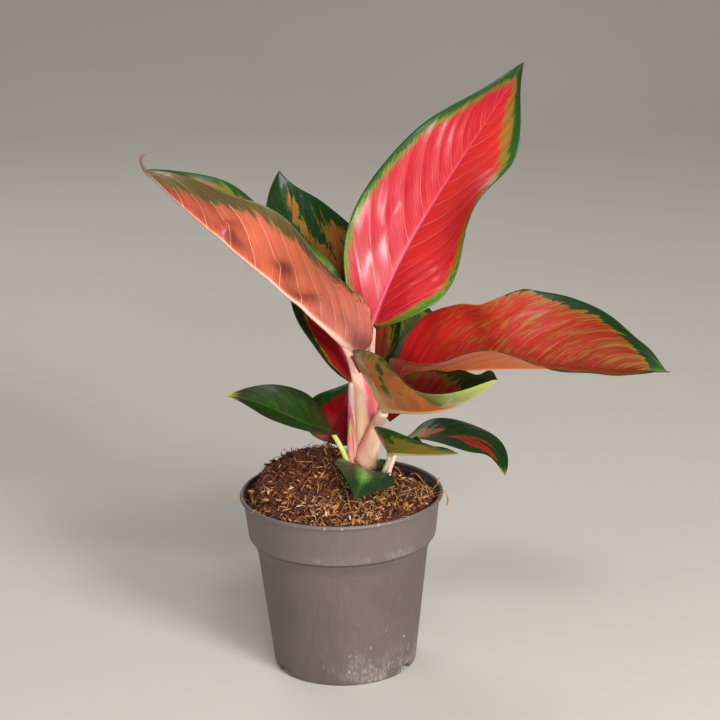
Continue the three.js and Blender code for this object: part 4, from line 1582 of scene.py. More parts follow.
        face=((0.14, -0.22, 0.96), (0.05, -0.86, 0.49)), half=0.0179, rise=0.55, fall=0.96, ridge=0.0004,
        left=Side(
            (-1, 0), (5, 7), (0.0015, 1.46, -0.06), (0.01, 0.022, 0.01),
            bumps=((0.5, 0.08, 0.0018), (0.28, 0.1, -0.0044)),
        ),
        right=Side((4, 6), (9, 11), (0.0005, 1.47, -0.04), (0.01, 0.022, 0.01)),
        patches=((0.58, -0.02, 0.2, 0.3, 7.0), (0.36, 0.12, 0.12, 0.16, 3.0)),
        dents=((0.5, -1.0, 0.25, 0.4, -0.0024),), veins=7, rows=80, columns=26, pillow=0.0003, start=111.0,
    ),
    Blade(
        "scale_leaf", Slot.GREEN, LOW_GREEN, LOW_GREEN,
        rib=(
            (0.0226, 0.0015, 0.112), (0.0232, 0.0008, 0.1165), (0.023, 0.0006, 0.1205),
            (0.0222, 0.0012, 0.1255),
        ),
        face=((0.2, -0.98, 0), (0.2, -0.98, 0)), half=0.0022, rise=0.4, fall=0.7, ridge=0.0001,
        left=SCALE_SIDE, right=SCALE_SIDE, pillow=0.0, rows=24, columns=8, start=120.0,
    ),
)
LEFT_TIP_HOOK = (
    (-0.0995, -0.0284, 0.3025, 0.0009), (-0.103, -0.03, 0.307, 0.0009), (-0.1048, -0.0306, 0.3115, 0.0007),
    (-0.1042, -0.0304, 0.315, 0.0006), (-0.1022, -0.03, 0.316, 0.0004),
)

PALE_PINK = StemFinish("pale_pink_stem", "#f0d6b8", "#f5cfbd", "#f2bfb2", "#e59c98", 0.3)
YELLOW_GREEN = StemFinish("yellow_green_stalk", "#b9c24a", "#bcc95a", "#cfd27c", "#8fae3a", 0.4)
DARK_GREEN = StemFinish("dark_green_stalk", "#1d2f16", "#22381c", "#2b4522", "#162511", 0.4)
CREAM_GREEN = StemFinish("cream_green_stalk", "#a9b348", "#d8cf98", "#efdcba", "#b4bb5a", 0.4)
YOUNG_SPIKE = StemFinish("young_spike", "#f0c2aa", "#e8907e", "#b9b558", "#d4605a", 0.5, turn=(0.5, 0.85))
HOT_PINK = StemFinish(
    "hot_pink_wing", "#f9cdbd", "#f3aca6", "#ea8490", "#e67286", 0.5, edge="#e0607c", edge_from=(0.5, 1.1),
)
RED_TIPPED = StemFinish(
    "red_tipped_sheath", "#f6d8b0", "#f8c6a6", "#ee9a8c", "#ea9284", 0.35, edge="#d83048",
    edge_from=(0.72, 0.92),
)
DRIED_TIP = StemFinish("dried_tip", "#7a6a3a", "#6a4630", "#7c4636", "#4c2f22", 0.5)

STEM = StemBody("stem_body", (
    (
        (0.0143, 0.0106, 0.104, 0.0055), (0.0144, 0.01, 0.122, 0.0056), (0.0147, 0.0095, 0.136, 0.006),
        (0.0154, 0.009, 0.148, 0.0064), (0.0149, 0.009, 0.16, 0.006), (0.0138, 0.0094, 0.17, 0.005),
        (0.0122, 0.01, 0.179, 0.0032),
    ),
    (
        (0.0126, 0.01, 0.156, 0.004), (0.0113, 0.0096, 0.167, 0.0034), (0.0091, 0.0094, 0.178, 0.0029),
        (0.0072, 0.0096, 0.1855, 0.0027), (0.0048, 0.008, 0.1912, 0.0025), (0.0024, 0.006, 0.1942, 0.0016),
    ),
    (
        (0.016, 0.012, 0.11, 0.0044), (0.0165, 0.012, 0.14, 0.0038), (0.018, 0.0105, 0.165, 0.0028),
        (0.0194, 0.008, 0.188, 0.0022), (0.0207, 0.0061, 0.2053, 0.0021),
    ),
    (
        (0.0148, 0.01, 0.104, 0.0048), (0.0154, 0.0078, 0.12, 0.0048), (0.018, 0.004, 0.134, 0.0046),
        (0.0212, -0.0006, 0.1455, 0.0043), (0.0238, -0.0034, 0.1525, 0.0038),
        (0.0264, -0.0066, 0.1568, 0.0032),
    ),
    (
        (0.016, 0.013, 0.108, 0.0042), (0.02, 0.017, 0.13, 0.0038), (0.026, 0.022, 0.148, 0.0032),
        (0.031, 0.0258, 0.1595, 0.0028), (0.0326, 0.0268, 0.1632, 0.0025),
    ),
    (
        (0.015, 0.014, 0.11, 0.004), (0.017, 0.02, 0.135, 0.0036), (0.02, 0.028, 0.156, 0.003),
        (0.0228, 0.0338, 0.1713, 0.0025),
    ),
    (
        (0.016, 0.015, 0.112, 0.0036), (0.02, 0.023, 0.138, 0.003), (0.0245, 0.0315, 0.159, 0.0026),
        (0.0267, 0.0354, 0.1674, 0.0022),
    ),
), (
    (0.016, 0.004, 0.176, 0.0036, 0.8, 0.0), (0.0172, 0.004, 0.167, 0.004, 0.95, 0.0),
    (0.0196, 0.001, 0.1585, 0.0038, 0.95, 0.0), (0.0188, 0.001, 0.152, 0.0034, 0.7, 0.0),
    (0.016, 0.002, 0.144, 0.005, 0.35, 0.0), (0.013, 0.003, 0.15, 0.006, 0.0, 0.8),
    (0.012, 0.003, 0.136, 0.004, 0.0, 0.6), (0.019, 0.003, 0.123, 0.003, 0.0, 0.6),
    (0.024, 0.022, 0.15, 0.01, 0.35, 0.0), (0.019, 0.028, 0.155, 0.008, 0.6, 0.0),
    (0.02, 0.008, 0.196, 0.006, 0.2, 0.0),
))
SIDE_PETIOLE = Stalk("back_left_petiole", Slot.STEM, PALE_PINK, (
    (0.0094, 0.0096, 0.11, 0.003), (0.0082, 0.0098, 0.135, 0.0026), (0.0074, 0.0096, 0.156, 0.0021),
    (0.0075, 0.0093, 0.1705, 0.0018),
), sides=18)
SMALL_STALKS = (
    Stalk("low_left_stalk", Slot.GREEN_STALK, YELLOW_GREEN, (
        (0.0042, -0.0018, 0.111, 0.0016), (0.004, -0.0018, 0.12, 0.0017), (0.0028, -0.0017, 0.128, 0.0016),
        (-0.0007, -0.0016, 0.1362, 0.0015), (-0.0046, -0.0017, 0.1436, 0.0014),
    )),
    Stalk("low_back_stalk", Slot.DARK_STALK, DARK_GREEN, (
        (-0.003, 0.017, 0.112, 0.0016), (-0.0046, 0.0185, 0.122, 0.0015), (-0.0066, 0.0205, 0.126, 0.0013),
        (-0.008, 0.0226, 0.1284, 0.0011),
    )),
    Stalk("low_right_stalk", Slot.GREEN_STALK, CREAM_GREEN, (
        (0.0234, -0.0034, 0.105, 0.0015), (0.0246, -0.0046, 0.117, 0.0015),
        (0.0274, -0.0078, 0.125, 0.0015), (0.0291, -0.0104, 0.1306, 0.0015),
    )),
    Stalk("far_right_stalk", Slot.STEM, PALE_PINK, (
        (0.027, 0.0088, 0.103, 0.0015), (0.0286, 0.0106, 0.1145, 0.0015), (0.033, 0.015, 0.124, 0.0015),
        (0.0366, 0.0183, 0.1303, 0.0015),
    )),
    Stalk("front_low_stalk", Slot.GREEN_STALK, YELLOW_GREEN, (
        (0.017, 0.0006, 0.106, 0.0015), (0.0166, 0.0004, 0.1155, 0.0014), (0.0162, -0.0005, 0.1181, 0.0013),
    )),
    Stalk("young_shoot", Slot.STEM, YOUNG_SPIKE, (
        (0.006, 0.0042, 0.11, 0.002), (0.006, 0.004, 0.124, 0.002), (0.006, 0.0036, 0.136, 0.0019),
        (0.0061, 0.003, 0.143, 0.0012), (0.0063, 0.0026, 0.15, 0.00035),
    )),
)
SHEATHS = (
    Sheath("front_sheath", RED_TIPPED, (
        (0.0146, 0.0092, 0.106, 0.0059), (0.0148, 0.0082, 0.121, 0.0058), (0.016, 0.0068, 0.133, 0.0057),
        (0.0168, 0.0056, 0.141, 0.0056), (0.0164, 0.005, 0.1468, 0.0056),
    ), facing=-80, span=(200, 50), flare=0.0004),
    Sheath("back_left_petiole_wing", HOT_PINK, (
        (0.0094, 0.0104, 0.124, 0.0036), (0.0086, 0.0104, 0.136, 0.0031), (0.008, 0.01, 0.148, 0.0027),
        (0.0077, 0.0098, 0.1585, 0.0024),
    ), facing=-130, span=(140, 70), flare=0.0006),
)


@dataclass(frozen=True)
class PotFinish:
    """Grey-brown moulded plastic with faint upright streaks, dust and pale scuffs, painted shade
    inside the band and a painted shadow line under it.

    Fields that end in z are heights on the pot. inner_r is the band's inside radius at the
    height 0, which inner_slope widens with the height, and shade_reach is how deep the painted
    shade inside goes.
    """

    name: str = "nursery_pot_plastic"
    base: str = "#615550"
    shade: str = "#5b4f4a"
    # Colour of the painted shadow line under the band's lower edge.
    groove: str = "#2e2725"
    dust: str = "#776d69"
    scuff: str = "#d9d3cb"
    # Colour of the painted shade on the inside of the band.
    inner: str = "#1f1b1a"
    rough: float = 0.5
    # Height of the painted shadow line under the band.
    shadow_line_z: float = 0.0802
    # Above this height the band is mixed lighter.
    band_lighter_z: float = 0.0805
    inner_z: float = 0.0812
    bloom_z: float = 0.084
    lip_z: float = 0.1038
    bead_z: float = 0.1055
    inner_r: float = 0.0478
    inner_slope: float = 0.094
    shade_reach: float = 0.0007

    def material(self) -> Material:
        """Builds the plastic's material.

        Returns:
            The material.
        """
        graph = Graph(self.name)
        broad = graph.noise(graph.place(), 28, 3)
        streaks = graph.noise(graph.place((1, 1, 0.03)), 900, 3, 0.7)
        specks = graph.noise(graph.place((1, 1, 0.5)), 1500, 2, 0.5)
        colour = graph.mix(graph.ramp(broad, 0.35, 0.65), self.shade, self.base)
        colour = graph.mix(graph.ramp(streaks, 0.45, 0.8, 0, 0.45), colour, self.dust)
        colour = graph.mix(graph.ramp(specks, 0.62, 0.72, 0, 0.25), colour, self.dust)
        _, _, z = graph.split(graph.place())
        # Painted shadow line under the band's overhang.
        below = graph.away(z, self.shadow_line_z)
        colour = graph.mix(graph.ramp(below, 0.0004, 0.0011, 0.6, 0), colour, self.groove)
        colour = graph.mix(self._haze(graph), colour, self.scuff)
        # The band is mixed lighter towards the dust colour above its lower edge.
        band_lighter = graph.ramp(z, self.band_lighter_z, self.band_lighter_z + MILLIMETRE, 0, 0.35)
        colour = graph.mix(band_lighter, colour, self.dust)
        colour = graph.mix(self._scuffs(graph), colour, self.scuff)
        # Painted shade on the inside of the band.
        colour = graph.mix(self._painted_inner_shade(graph), colour, self.inner)
        rough = graph.ramp(streaks, 0.3, 0.7, self.rough - 0.06, self.rough + 0.08)
        return graph.finish(colour, rough, graph.math("ADD", streaks, specks), 0.12, 0.0002)

    def _painted_inner_shade(self, graph: Graph) -> NodeSocket:
        """Finds the inner face of the band, where shade is painted dark.

        Args:
            graph: the material's node graph.

        Returns:
            How far the painted shade shows there, 0 to 1.
        """
        x, y, z = graph.split(graph.place())
        radius = graph.math("SQRT", graph.times_plus(x, x, graph.times(y, y)))
        outside = graph.times_plus(z, self.inner_slope, self.inner_r)
        lip = graph.ramp(z, self.lip_z, self.lip_z + 0.0005, 0, 0.0012)
        depth = graph.math("ADD", lip, graph.math("SUBTRACT", outside, radius))
        below = graph.ramp(z, self.bead_z, self.bead_z + 0.0007, 0.85, 0)
        band = graph.times(graph.ramp(z, self.inner_z, self.inner_z + 0.0008), below)
        return graph.times(graph.ramp(depth, self.shade_reach, self.shade_reach + 0.0004), band)

    def _haze(self, graph: Graph) -> NodeSocket:
        """Finds the dull whitish bloom low on the front right and along the band's lower edge.

        Args:
            graph: the material's node graph.

        Returns:
            How far the finish shows there, 0 to 1.
        """
        x, y, z = graph.split(graph.place())
        fine = graph.noise(graph.place((1, 1, 0.4)), 650, 3, 0.7)
        clouds = graph.noise(graph.place(), 60, 3)
        low = graph.ramp(z, 0.0, 0.03, 1.0, 0)
        band = graph.ramp(graph.away(z, self.bloom_z), 0.0, 0.004, 0.8, 0)
        side = graph.ramp(graph.math("SUBTRACT", x, y), 0.02, 0.06, 0.15, 1.0)
        near = graph.times(graph.math("MAXIMUM", low, band), side)
        shown = graph.times(near, graph.ramp(clouds, 0.42, 0.62))
        return graph.times(shown, graph.ramp(fine, 0.42, 0.7, 0.05, 0.4))

    def _scuffs(self, graph: Graph) -> NodeSocket:
        """Finds the pale scuffs, most of them on the front right and along the edges.

        Args:
            graph: the material's node graph.

        Returns:
            How far the finish shows there, 0 to 1.
        """
        x, y, z = graph.split(graph.place())
        marks = graph.noise(graph.place((1, 1, 0.35)), 420, 4, 0.75)
        clusters = graph.noise(graph.place(), 75, 2)
        side = graph.ramp(graph.math("SUBTRACT", x, y), 0.0, 0.06, 0.0, 0.075)
        edge = graph.ramp(graph.away(z, self.bead_z), 0.0, 0.0025, 0.09, 0.0)
        low = graph.ramp(z, 0.012, 0.05, 0.05, 0.0)
        limit = graph.math("SUBTRACT", 0.86, graph.times(clusters, 0.17))
        limit = graph.math("SUBTRACT", limit, graph.math("ADD", graph.math("ADD", side, edge), low))
        return graph.ramp(graph.math("SUBTRACT", marks, limit), 0, 0.02, 0, 0.75)


@dataclass(frozen=True)
class Pot:
    """The tapered nursery pot: bead, band, shoulder, body, foot, floor, drain holes and notches.

    Fields that end in r are radii, in z heights and in tall sizes up the pot. steps is how often
    the wall is repeated round it, and edges sharper than sharp, in radians, are rounded by rounding.
    """

    height: float = 0.1065
    rim_r: float = 0.06
    bead_tall: float = 0.0024
    band_top_r: float = 0.0578
    band_bottom_r: float = 0.0554
    band_bottom_z: float = 0.081
    body_top_r: float = 0.0504
    body_top_z: float = 0.0713
    body_bottom_r: float = 0.0426
    foot_r: float = 0.0412
    foot_tall: float = 0.004
    foot_wide: float = 0.0013
    foot_wide_above: float = 0.0018
    wall: float = 0.0015
    floor_under_z: float = 0.0058
    floor_top_z: float = 0.0072
    pad_r: float = 0.009
    drain_r: float = 0.0035
    drain_circle_r: float = 0.027
    drain_count: int = 6
    notch_wide: float = 0.011
    notch_tall: float = 0.0046
    notch_angles: Sequence[float] = (-58, 58, -122, 122)
    cut: float = 0.012
    steps: int = 160
    sharp: float = 0.35
    rounding: float = 0.0003

    def inside(self, z: np.ndarray) -> np.ndarray:
        """Inside radius between the shoulder and the rim at a height."""
        share = (z - self.band_bottom_z) / (self.height - self.band_bottom_z)
        return self.band_bottom_r - self.wall + share * (self.band_top_r - self.band_bottom_r)

    def profile(self) -> list[Pair]:
        """Lists the wall's outline, radius and height, from the pad round to the floor.

        Returns:
            The pairs.
        """
        bead_z = self.height - self.bead_tall
        inner_top = self.body_top_r - self.wall
        return [
            (0, 0), (self.pad_r, 0), (self.pad_r + 0.0006, self.floor_under_z),
            (self.foot_r - self.foot_wide_above, self.floor_under_z),
            (self.foot_r - self.foot_wide, 0), (self.foot_r, 0),
            (self.body_bottom_r - 0.0003, 0.0013), (self.body_bottom_r, self.foot_tall),
            *self._body_rows(), (self.body_top_r, self.body_top_z),
            (self.body_top_r + 0.0009, self.body_top_z + 0.0034),
            (self.body_top_r + 0.0024, self.body_top_z + 0.0062),
            (self.band_bottom_r - 0.0014, self.band_bottom_z - 0.0012),
            (self.band_bottom_r - 0.0012, self.band_bottom_z + 0.0001),
            (self.band_bottom_r - 0.0002, self.band_bottom_z - 0.0001),
            (self.band_bottom_r, self.band_bottom_z + 0.0007), (self.band_top_r, bead_z - 0.0005),
            (self.rim_r - 0.0005, bead_z), (self.rim_r, bead_z + 0.0011),
            (self.rim_r - 0.0006, self.height), (self.rim_r - 0.0018, self.height),
            (self.rim_r - 0.0024, self.height - 0.001),
            (float(self.inside(self.height - 0.0042)), self.height - 0.0042),
            (float(self.inside(self.band_bottom_z)), self.band_bottom_z - 0.0004),
            (inner_top + 0.0006, self.body_top_z + 0.0016), (inner_top, self.body_top_z - 0.001),
            (self.body_bottom_r - self.wall, self.floor_top_z + 0.0015),
            (self.body_bottom_r - self.wall - 0.0012, self.floor_top_z), (0, self.floor_top_z),
        ]

    def _body_rows(self) -> list[Pair]:
        """Lists rows up the body's outside, so that the notches cut only its lowest faces.

        Returns:
            Each row's radius and height.
        """
        rows = []
        for z in (self.notch_tall + 0.0012, self.notch_tall + 0.004, 0.02, 0.04):
            share = (z - self.foot_tall) / (self.body_top_z - self.foot_tall)
            rows.append((self.body_bottom_r + share * (self.body_top_r - self.body_bottom_r), z))
        return rows

    def build(self) -> Object:
        """Spins the wall, rounds its edges and cuts the holes and notches.

        Returns:
            The pot's object.
        """
        bm = bmesh.new()
        points = [bm.verts.new((r, 0, z)) for r, z in self.profile()]
        lines = [bm.edges.new(pair) for pair in zip(points, points[1:])]
        bmesh.ops.spin(
            bm, geom=points + lines, cent=(0, 0, 0), axis=(0, 0, 1), angle=2 * math.pi,
            steps=self.steps, use_merge=True,
        )
        bmesh.ops.remove_doubles(bm, verts=bm.verts, dist=MERGE)
        bmesh.ops.recalc_face_normals(bm, faces=bm.faces)
        edges = [edge for edge in bm.edges if edge.calc_face_angle(0) > self.sharp]
        bmesh.ops.bevel(
            bm, geom=edges, offset=self.rounding, segments=3, profile=0.5, affect="EDGES", material=-1,
            clamp_overlap=True,
        )
        obj = new_object("nursery_pot", take_mesh(bm, "nursery_pot"), [PotFinish().material()])
        self._cut(obj)
        return obj

    def _cut(self, obj: Object) -> None:
        """Cuts the drain holes and the foot's notches out of the pot.

        Args:
            obj: the pot with a closed floor.
        """
        bm = bmesh.new()
        for i in range(self.drain_count):
            angle = 2 * math.pi * (i + 0.5) / self.drain_count
            x = self.drain_circle_r * math.cos(angle)
            y = self.drain_circle_r * math.sin(angle)
            bmesh.ops.create_cone(
                bm, cap_ends=True, segments=32, radius1=self.drain_r, radius2=self.drain_r,
                depth=self.cut, matrix=Matrix.Translation((x, y, self.floor_top_z)),
            )
        for degrees in self.notch_angles:
            size = Matrix.Diagonal((self.notch_wide, self.cut, 2 * self.notch_tall, 1))
            place = Matrix.Translation((0, -self.foot_r, 0))
            turned = Matrix.Rotation(math.radians(degrees), 4, "Z") @ place
            bmesh.ops.create_cube(bm, size=1, matrix=turned @ size)
        mesh = take_mesh(bm, "pot_cutters")
        cutter = link("pot_cutters", mesh)
        modifier = obj.modifiers.new("openings", "BOOLEAN")
        modifier.object = cutter
        modifier.solver = "EXACT"
        apply_modifiers(obj)
        bpy.data.objects.remove(cutter)
        bpy.data.meshes.remove(mesh)


@dataclass(frozen=True)
class Soil:
    """The coir mound: a slope across the pot and one broad hill behind the left of the stems.

    level is the height at the pot's middle without the hill. lump is how high its broad lumps
    are, but for a calm place at the stems. full lifts the edge at full_angle and sunk lowers it
    at sunk_angle, in degrees from +X; sink_row and full_row are the shares of the radius where
    that starts. gap is how far the mound stays off the pot's wall, and rim_gap how far its edge
    stays under the rim, a limit that dome raises inward.
    """

    pot: Pot
    level: float = 0.0787
    slope_x: float = 0.116
    slope_y: float = -0.303
    hill_tall: float = 0.0542
    hill_x: float = -0.0185
    hill_y: float = 0.0223
    hill_wide_x: float = 0.066
    hill_wide_y: float = 0.059
    lump: float = 0.0011
    radius: float = 0.0532
    full: float = 0.0042
    full_angle: float = -20.0
    sunk_angle: float = 176.0
    sunk: float = 0.0045
    gap: float = 0.0004
    rim_gap: float = 0.0014
    dome: float = 10.0
    edge_sink: float = 0.0008
    rings: int = 150
    sides: int = 260
    sink_row: float = 0.9
    full_row: float = 0.55
    calm_x: float = 14.0
    calm_y: float = 5.0
    calm_squared: float = 260.0

    def height(self, x: np.ndarray, y: np.ndarray) -> np.ndarray:
        """Finds the mound's height with its broad lumps.

        Args:
            x: places to the right.
            y: places to the back.

        Returns:
            Heights in metres.
        """
        east = (x - self.hill_x) / self.hill_wide_x
        north = (y - self.hill_y) / self.hill_wide_y
        hill = self.hill_tall * np.exp(-east * east - north * north)
        across, back = x / MILLIMETRE, y / MILLIMETRE
        rough = np.sin(0.47 * across + 0.9) * np.cos(0.53 * back - 0.4)
        rough = rough + 0.7 * np.sin(0.83 * across - 0.61 * back)
        off = (across - self.calm_x) ** 2 + (back - self.calm_y) ** 2
        calm = 1 - np.exp(-off / self.calm_squared)
        edge = self._edge_sink(x, y)
        return self.level + self.slope_x * x + self.slope_y * y + hill + self.lump * rough * calm - edge

    def _edge_sink(self, x: np.ndarray, y: np.ndarray) -> np.ndarray:
        """How much the surface drops beside the wall, most of all on the left.

        Args:
            x: places to the right.
            y: places to the back.

        Returns:
            The drops in metres, below 0 where the edge is lifted.
        """
        r = np.hypot(x, y)
        angle = np.arctan2(y, x)
        hollow = self.sunk * np.maximum(0, np.cos(angle - math.radians(self.sunk_angle))) ** 6
        filled = self.full * np.maximum(0, np.cos(angle - math.radians(self.full_angle))) ** 3
        outer = smooth_step(self.sink_row * self.radius, self.radius, r)
        lifted = smooth_step(self.full_row * self.radius, self.radius, r) * filled
        return outer * (self.edge_sink + 1.4 * hollow) - lifted

    def point(self, x: float, y: float, lift: float = 0.0) -> Vector:
        """Gives a point on the surface, or a little above it.

        Args:
            x: its place to the right.
            y: its place to the back.
            lift: how far above.

        Returns:
            The point.
        """
        inward = max(0.0, 1 - math.hypot(x, y) / self.radius)
        limit = self.pot.height - self.rim_gap + self.dome * inward
        return Vector((x, y, min(float(self.height(np.float64(x), np.float64(y))), limit) + lift))

    def build(self) -> Object:
        """Makes the mound with its crumbly surface, closed inside the pot.

        Returns:
            The mound's object.
        """
        pot = self.pot
        bottom_z = pot.floor_top_z + self.gap
        inner_top = pot.body_top_r - pot.wall
        skirt = [
            (0.0, bottom_z), (pot.body_bottom_r - pot.wall - 0.0018, bottom_z),
            (pot.body_bottom_r - pot.wall - self.gap, bottom_z + 0.002),
            (inner_top - self.gap, pot.body_top_z - 0.001),
            (inner_top + 0.0004 - self.gap, pot.body_top_z + 0.0019),
            (float(pot.inside(pot.band_bottom_z)) - self.gap, pot.band_bottom_z + 0.0002),
        ]
        skirt_rows = len(skirt)
        top_rows = self.rings - skirt_rows

        def place(s: np.ndarray, t: np.ndarray) -> np.ndarray:
            """Places the grid's points, up the skirt and then in over the top.

            Args:
                s: shares of the first direction, 0 to 1.
                t: shares of the way round, 0 to 1.

            Returns:
                The points.
            """
            angle = 2 * math.pi * t
            row = np.rint(s * self.rings).astype(int)
            out = np.clip((self.rings - row) / top_rows, 0, 1)
            r = self.radius * out**0.85
            x, y = r * np.cos(angle), r * np.sin(angle)
            z = self.height(x, y)
            z = z + self._crumbs(x, y) * (1 - smooth_step(0.985, 1.0, out))
            z = np.minimum(z, self.pot.height - self.rim_gap + self.dome * (1 - out))
            r = np.where(row == skirt_rows, self.pot.inside(z) - self.gap, r)
            for index, (ring_r, ring_z) in enumerate(skirt):
                r = np.where(row == index, ring_r, r)
                z = np.where(row == index, ring_z, z)
            return np.stack([r * np.cos(angle), r * np.sin(angle), z], axis=-1)

        mesh = wrapped_grid("soil_mound", self.rings, self.sides, place)
        finish = GrainFinish(
            "coir_soil", "#2c1208", "#5c2c16", "#8a4c2a", scale=240, depth=0.0008,
            patch="#b0561e", patch_centre=(-0.034, 0.012, 0.124), patch_reach=0.011,
        )
        return new_object("soil_mound", mesh, [finish.material()])

    def _crumbs(self, x: np.ndarray, y: np.ndarray) -> np.ndarray:
        """Raises crumbs and pits on the surface, by heights in metres.

        Args:
            x: places to the right.
            y: places to the back.

        Returns:
            The heights.
        """
        raised = 0.0
        for tall, scale, layer in ((0.0011, 260, 3.0), (0.0007, 620, 9.0)):
            clouds = [noise.noise((a * scale, b * scale, layer)) for a, b in zip(x, y)]
            raised = raised + tall * np.array(clouds)
        return raised


def pick_spot(rng: random.Random, reach: float, front: float) -> Pair:
    """Picks a place in the pot.

    Args:
        rng: the piece's own seeded draws.
        reach: how far from the pot's middle it may lie.
        front: how much the hill behind the left is left out, 0 to 1.

    Returns:
        The place, x and y.
    """
    while True:
        r = reach * math.sqrt(rng.random())
        angle = rng.uniform(0, math.tau)
        x, y = r * math.cos(angle), r * math.sin(angle)
        hill = math.exp(-((x - HILL_X) ** 2 + (y - HILL_Y) ** 2) / HILL_SQUARED)
        if rng.random() < 1 - front * min(1.0, 1.4 * hill):
            return (x, y)


@dataclass(frozen=True)
class Litter:
    """Loose bits scattered over the soil: crumbs, clods or chips, all of one finish.

    slim and flat are how wide and thick a bit is, as shares of its length. front is how much the
    bits keep off the hill, reach how far from the pot's middle they lie, and kept the share of a
    bit's length that stays within it.
    """

    name: str
    finish: GrainFinish
    count: int
    length: Pair
    slim: Pair
    flat: Pair
    seed: int
    detail: int = 1
    jitter: float = 0.28
    tilt: float = 0.5
    lift: float = 0.0003
    front: float = 0.0
    models: int = 6
    reach: float = 0.0556
    kept: float = 0.38

    def build(self, soil: Soil) -> Object:
        """Scatters the bits over the soil by a seeded rule.

        Args:
            soil: the mound that they lie on.

        Returns:
            All the bits as one piece.
        """
        rng = random.Random(self.seed)
        models = [self._model(rng) for _ in range(self.models)]
        bm = bmesh.new()
        for _ in range(self.count):
            x, y = pick_spot(rng, self.reach, self.front)
            length = rng.uniform(*self.length)
            inward = min(1.0, (self.reach - self.kept * length) / math.hypot(x, y))
            wide = length * rng.uniform(*self.slim)
            size = Matrix.Diagonal((length, wide, length * rng.uniform(*self.flat), 1))
            turn = Matrix.Rotation(rng.uniform(0, math.tau), 4, "Z")
            lean = Matrix.Rotation(rng.gauss(0, self.tilt), 4, "Y")
            lean = lean @ Matrix.Rotation(rng.gauss(0, self.tilt), 4, "X")
            copy = rng.choice(models).copy()
            place = Matrix.Translation(soil.point(x * inward, y * inward, self.lift))
            copy.transform(place @ turn @ lean @ size)
            bm.from_mesh(copy)
            bpy.data.meshes.remove(copy)
        for model in models:
            bpy.data.meshes.remove(model)
        return new_object(self.name, take_mesh(bm, self.name), [self.finish.material()])

    def _model(self, rng: random.Random) -> Mesh:
        """Makes one lumpy bit, one metre long, to be copied and shrunk.

        Args:
            rng: the piece's own seeded draws.

        Returns:
            The bit's mesh.
        """
        bm = bmesh.new()
        bmesh.ops.create_icosphere(bm, subdivisions=self.detail, radius=0.5)
        for vert in bm.verts:
            vert.co *= 1 + rng.uniform(-self.jitter, self.jitter)
        return take_mesh(bm, "bit")


@dataclass(frozen=True)
class Fibres:
    """Thin bent strands over the soil, all of one finish, made as one curve object.

    bend is how much a strand turns over its length, wobble how much it turns at each point, rise
    how high it arches and lean how much its end stands up.
    """

    name: str
    finish: GrainFinish
    count: int
    length: Pair
    radius: Pair
    seed: int
    bend: float = 1.4
    rise: float = 0.002
    wobble: float = 0.18
    lean: Pair = (-0.4, 1.0)
    front: float = 0.0
    lift: float = 0.0003
    reach: float = 0.0548
    points: int = 7

    def build(self, soil: Soil) -> Object:
        """Lays the strands on the soil by a seeded rule.

        Args:
            soil: the mound that they lie on.

        Returns:
            All the strands as one piece.
        """
        rng = random.Random(self.seed)
        curve = start_curve(self.name)
        for _ in range(self.count):
            x, y = pick_spot(rng, self.reach, self.front)
            heading = rng.uniform(0, math.tau)
            turn = rng.gauss(0, self.bend)
            step = rng.uniform(*self.length) / (self.points - 1)
            thick = rng.uniform(*self.radius)
            arch = abs(rng.gauss(0, self.rise))
            lean = max(rng.uniform(*self.lean), 0)
            strand = []
            for i in range(self.points):
                share = i / (self.points - 1)
                off = min(1.0, self.reach / max(math.hypot(x, y), 1e-6))
                lift = self.lift + thick + arch * math.sin(math.pi * share) + arch * lean * share
                strand.append((*soil.point(x * off, y * off, lift), thick * (1 - 0.5 * share)))
                heading += turn / self.points + rng.gauss(0, self.wobble)
                x += step * math.cos(heading)
                y += step * math.sin(heading)
            add_strand(curve, strand)
        return finish_curve(self.name, curve, self.finish)


def big_chips(name: str, finish: GrainFinish, chips: Sequence[Spot], soil: Soil) -> Object:
    """Lays single large chips on the soil.

    Args:
        name: the piece's name.
        finish: their finish.
        chips: for each one its place, its length and width, and how far it is turned.
        soil: the mound that they lie on.

    Returns:
        All the chips as one piece.
    """
    rng = random.Random(len(chips))
    bm = bmesh.new()
    for x, y, length, wide, degrees in chips:
        size = Matrix.Diagonal((length, wide, 0.25 * wide, 1))
        turn = Matrix.Rotation(math.radians(degrees), 4, "Z")
        turn = turn @ Matrix.Rotation(rng.uniform(-0.3, 0.3), 4, "X")
        place = Matrix.Translation(soil.point(x, y, CHIP_LIFT)) @ turn @ size
        made = bmesh.ops.create_icosphere(bm, subdivisions=2, radius=0.5, matrix=place)
        for vert in made["verts"]:
            vert.co += Vector((rng.uniform(-1, 1), rng.uniform(-1, 1), rng.uniform(-1, 1))) * 0.1 * wide
    return new_object(name, take_mesh(bm, name), [finish.material()])


def start_curve(name: str) -> Curve:
    """Starts a curve whose strands are as thick as their points' radii.

    Args:
        name: the curve's name.

    Returns:
        The curve, still without strands.
    """
    curve = bpy.data.curves.new(name, "CURVE")
    curve.dimensions = "3D"
    curve.bevel_depth = 1.0
    curve.bevel_resolution = 0
    curve.use_fill_caps = True
    return curve


def add_strand(curve: Curve, strand: Path) -> None:
    """Adds one strand to a curve.

    Args:
        curve: where it goes.
        strand: x, y, z and radius along it.
    """
    spline = curve.splines.new("POLY")
    spline.points.add(len(strand) - 1)
    for point, (x, y, z, radius) in zip(spline.points, strand):
        point.co = (x, y, z, 1)
        point.radius = radius


def finish_curve(name: str, curve: Curve, finish: GrainFinish) -> Object:
    """Puts a curve into the scene.

    Args:
        name: the piece's name.
        curve: its strands.
        finish: its finish.

    Returns:
        The new object.
    """
    curve.materials.append(finish.material())
    return link(name, curve)


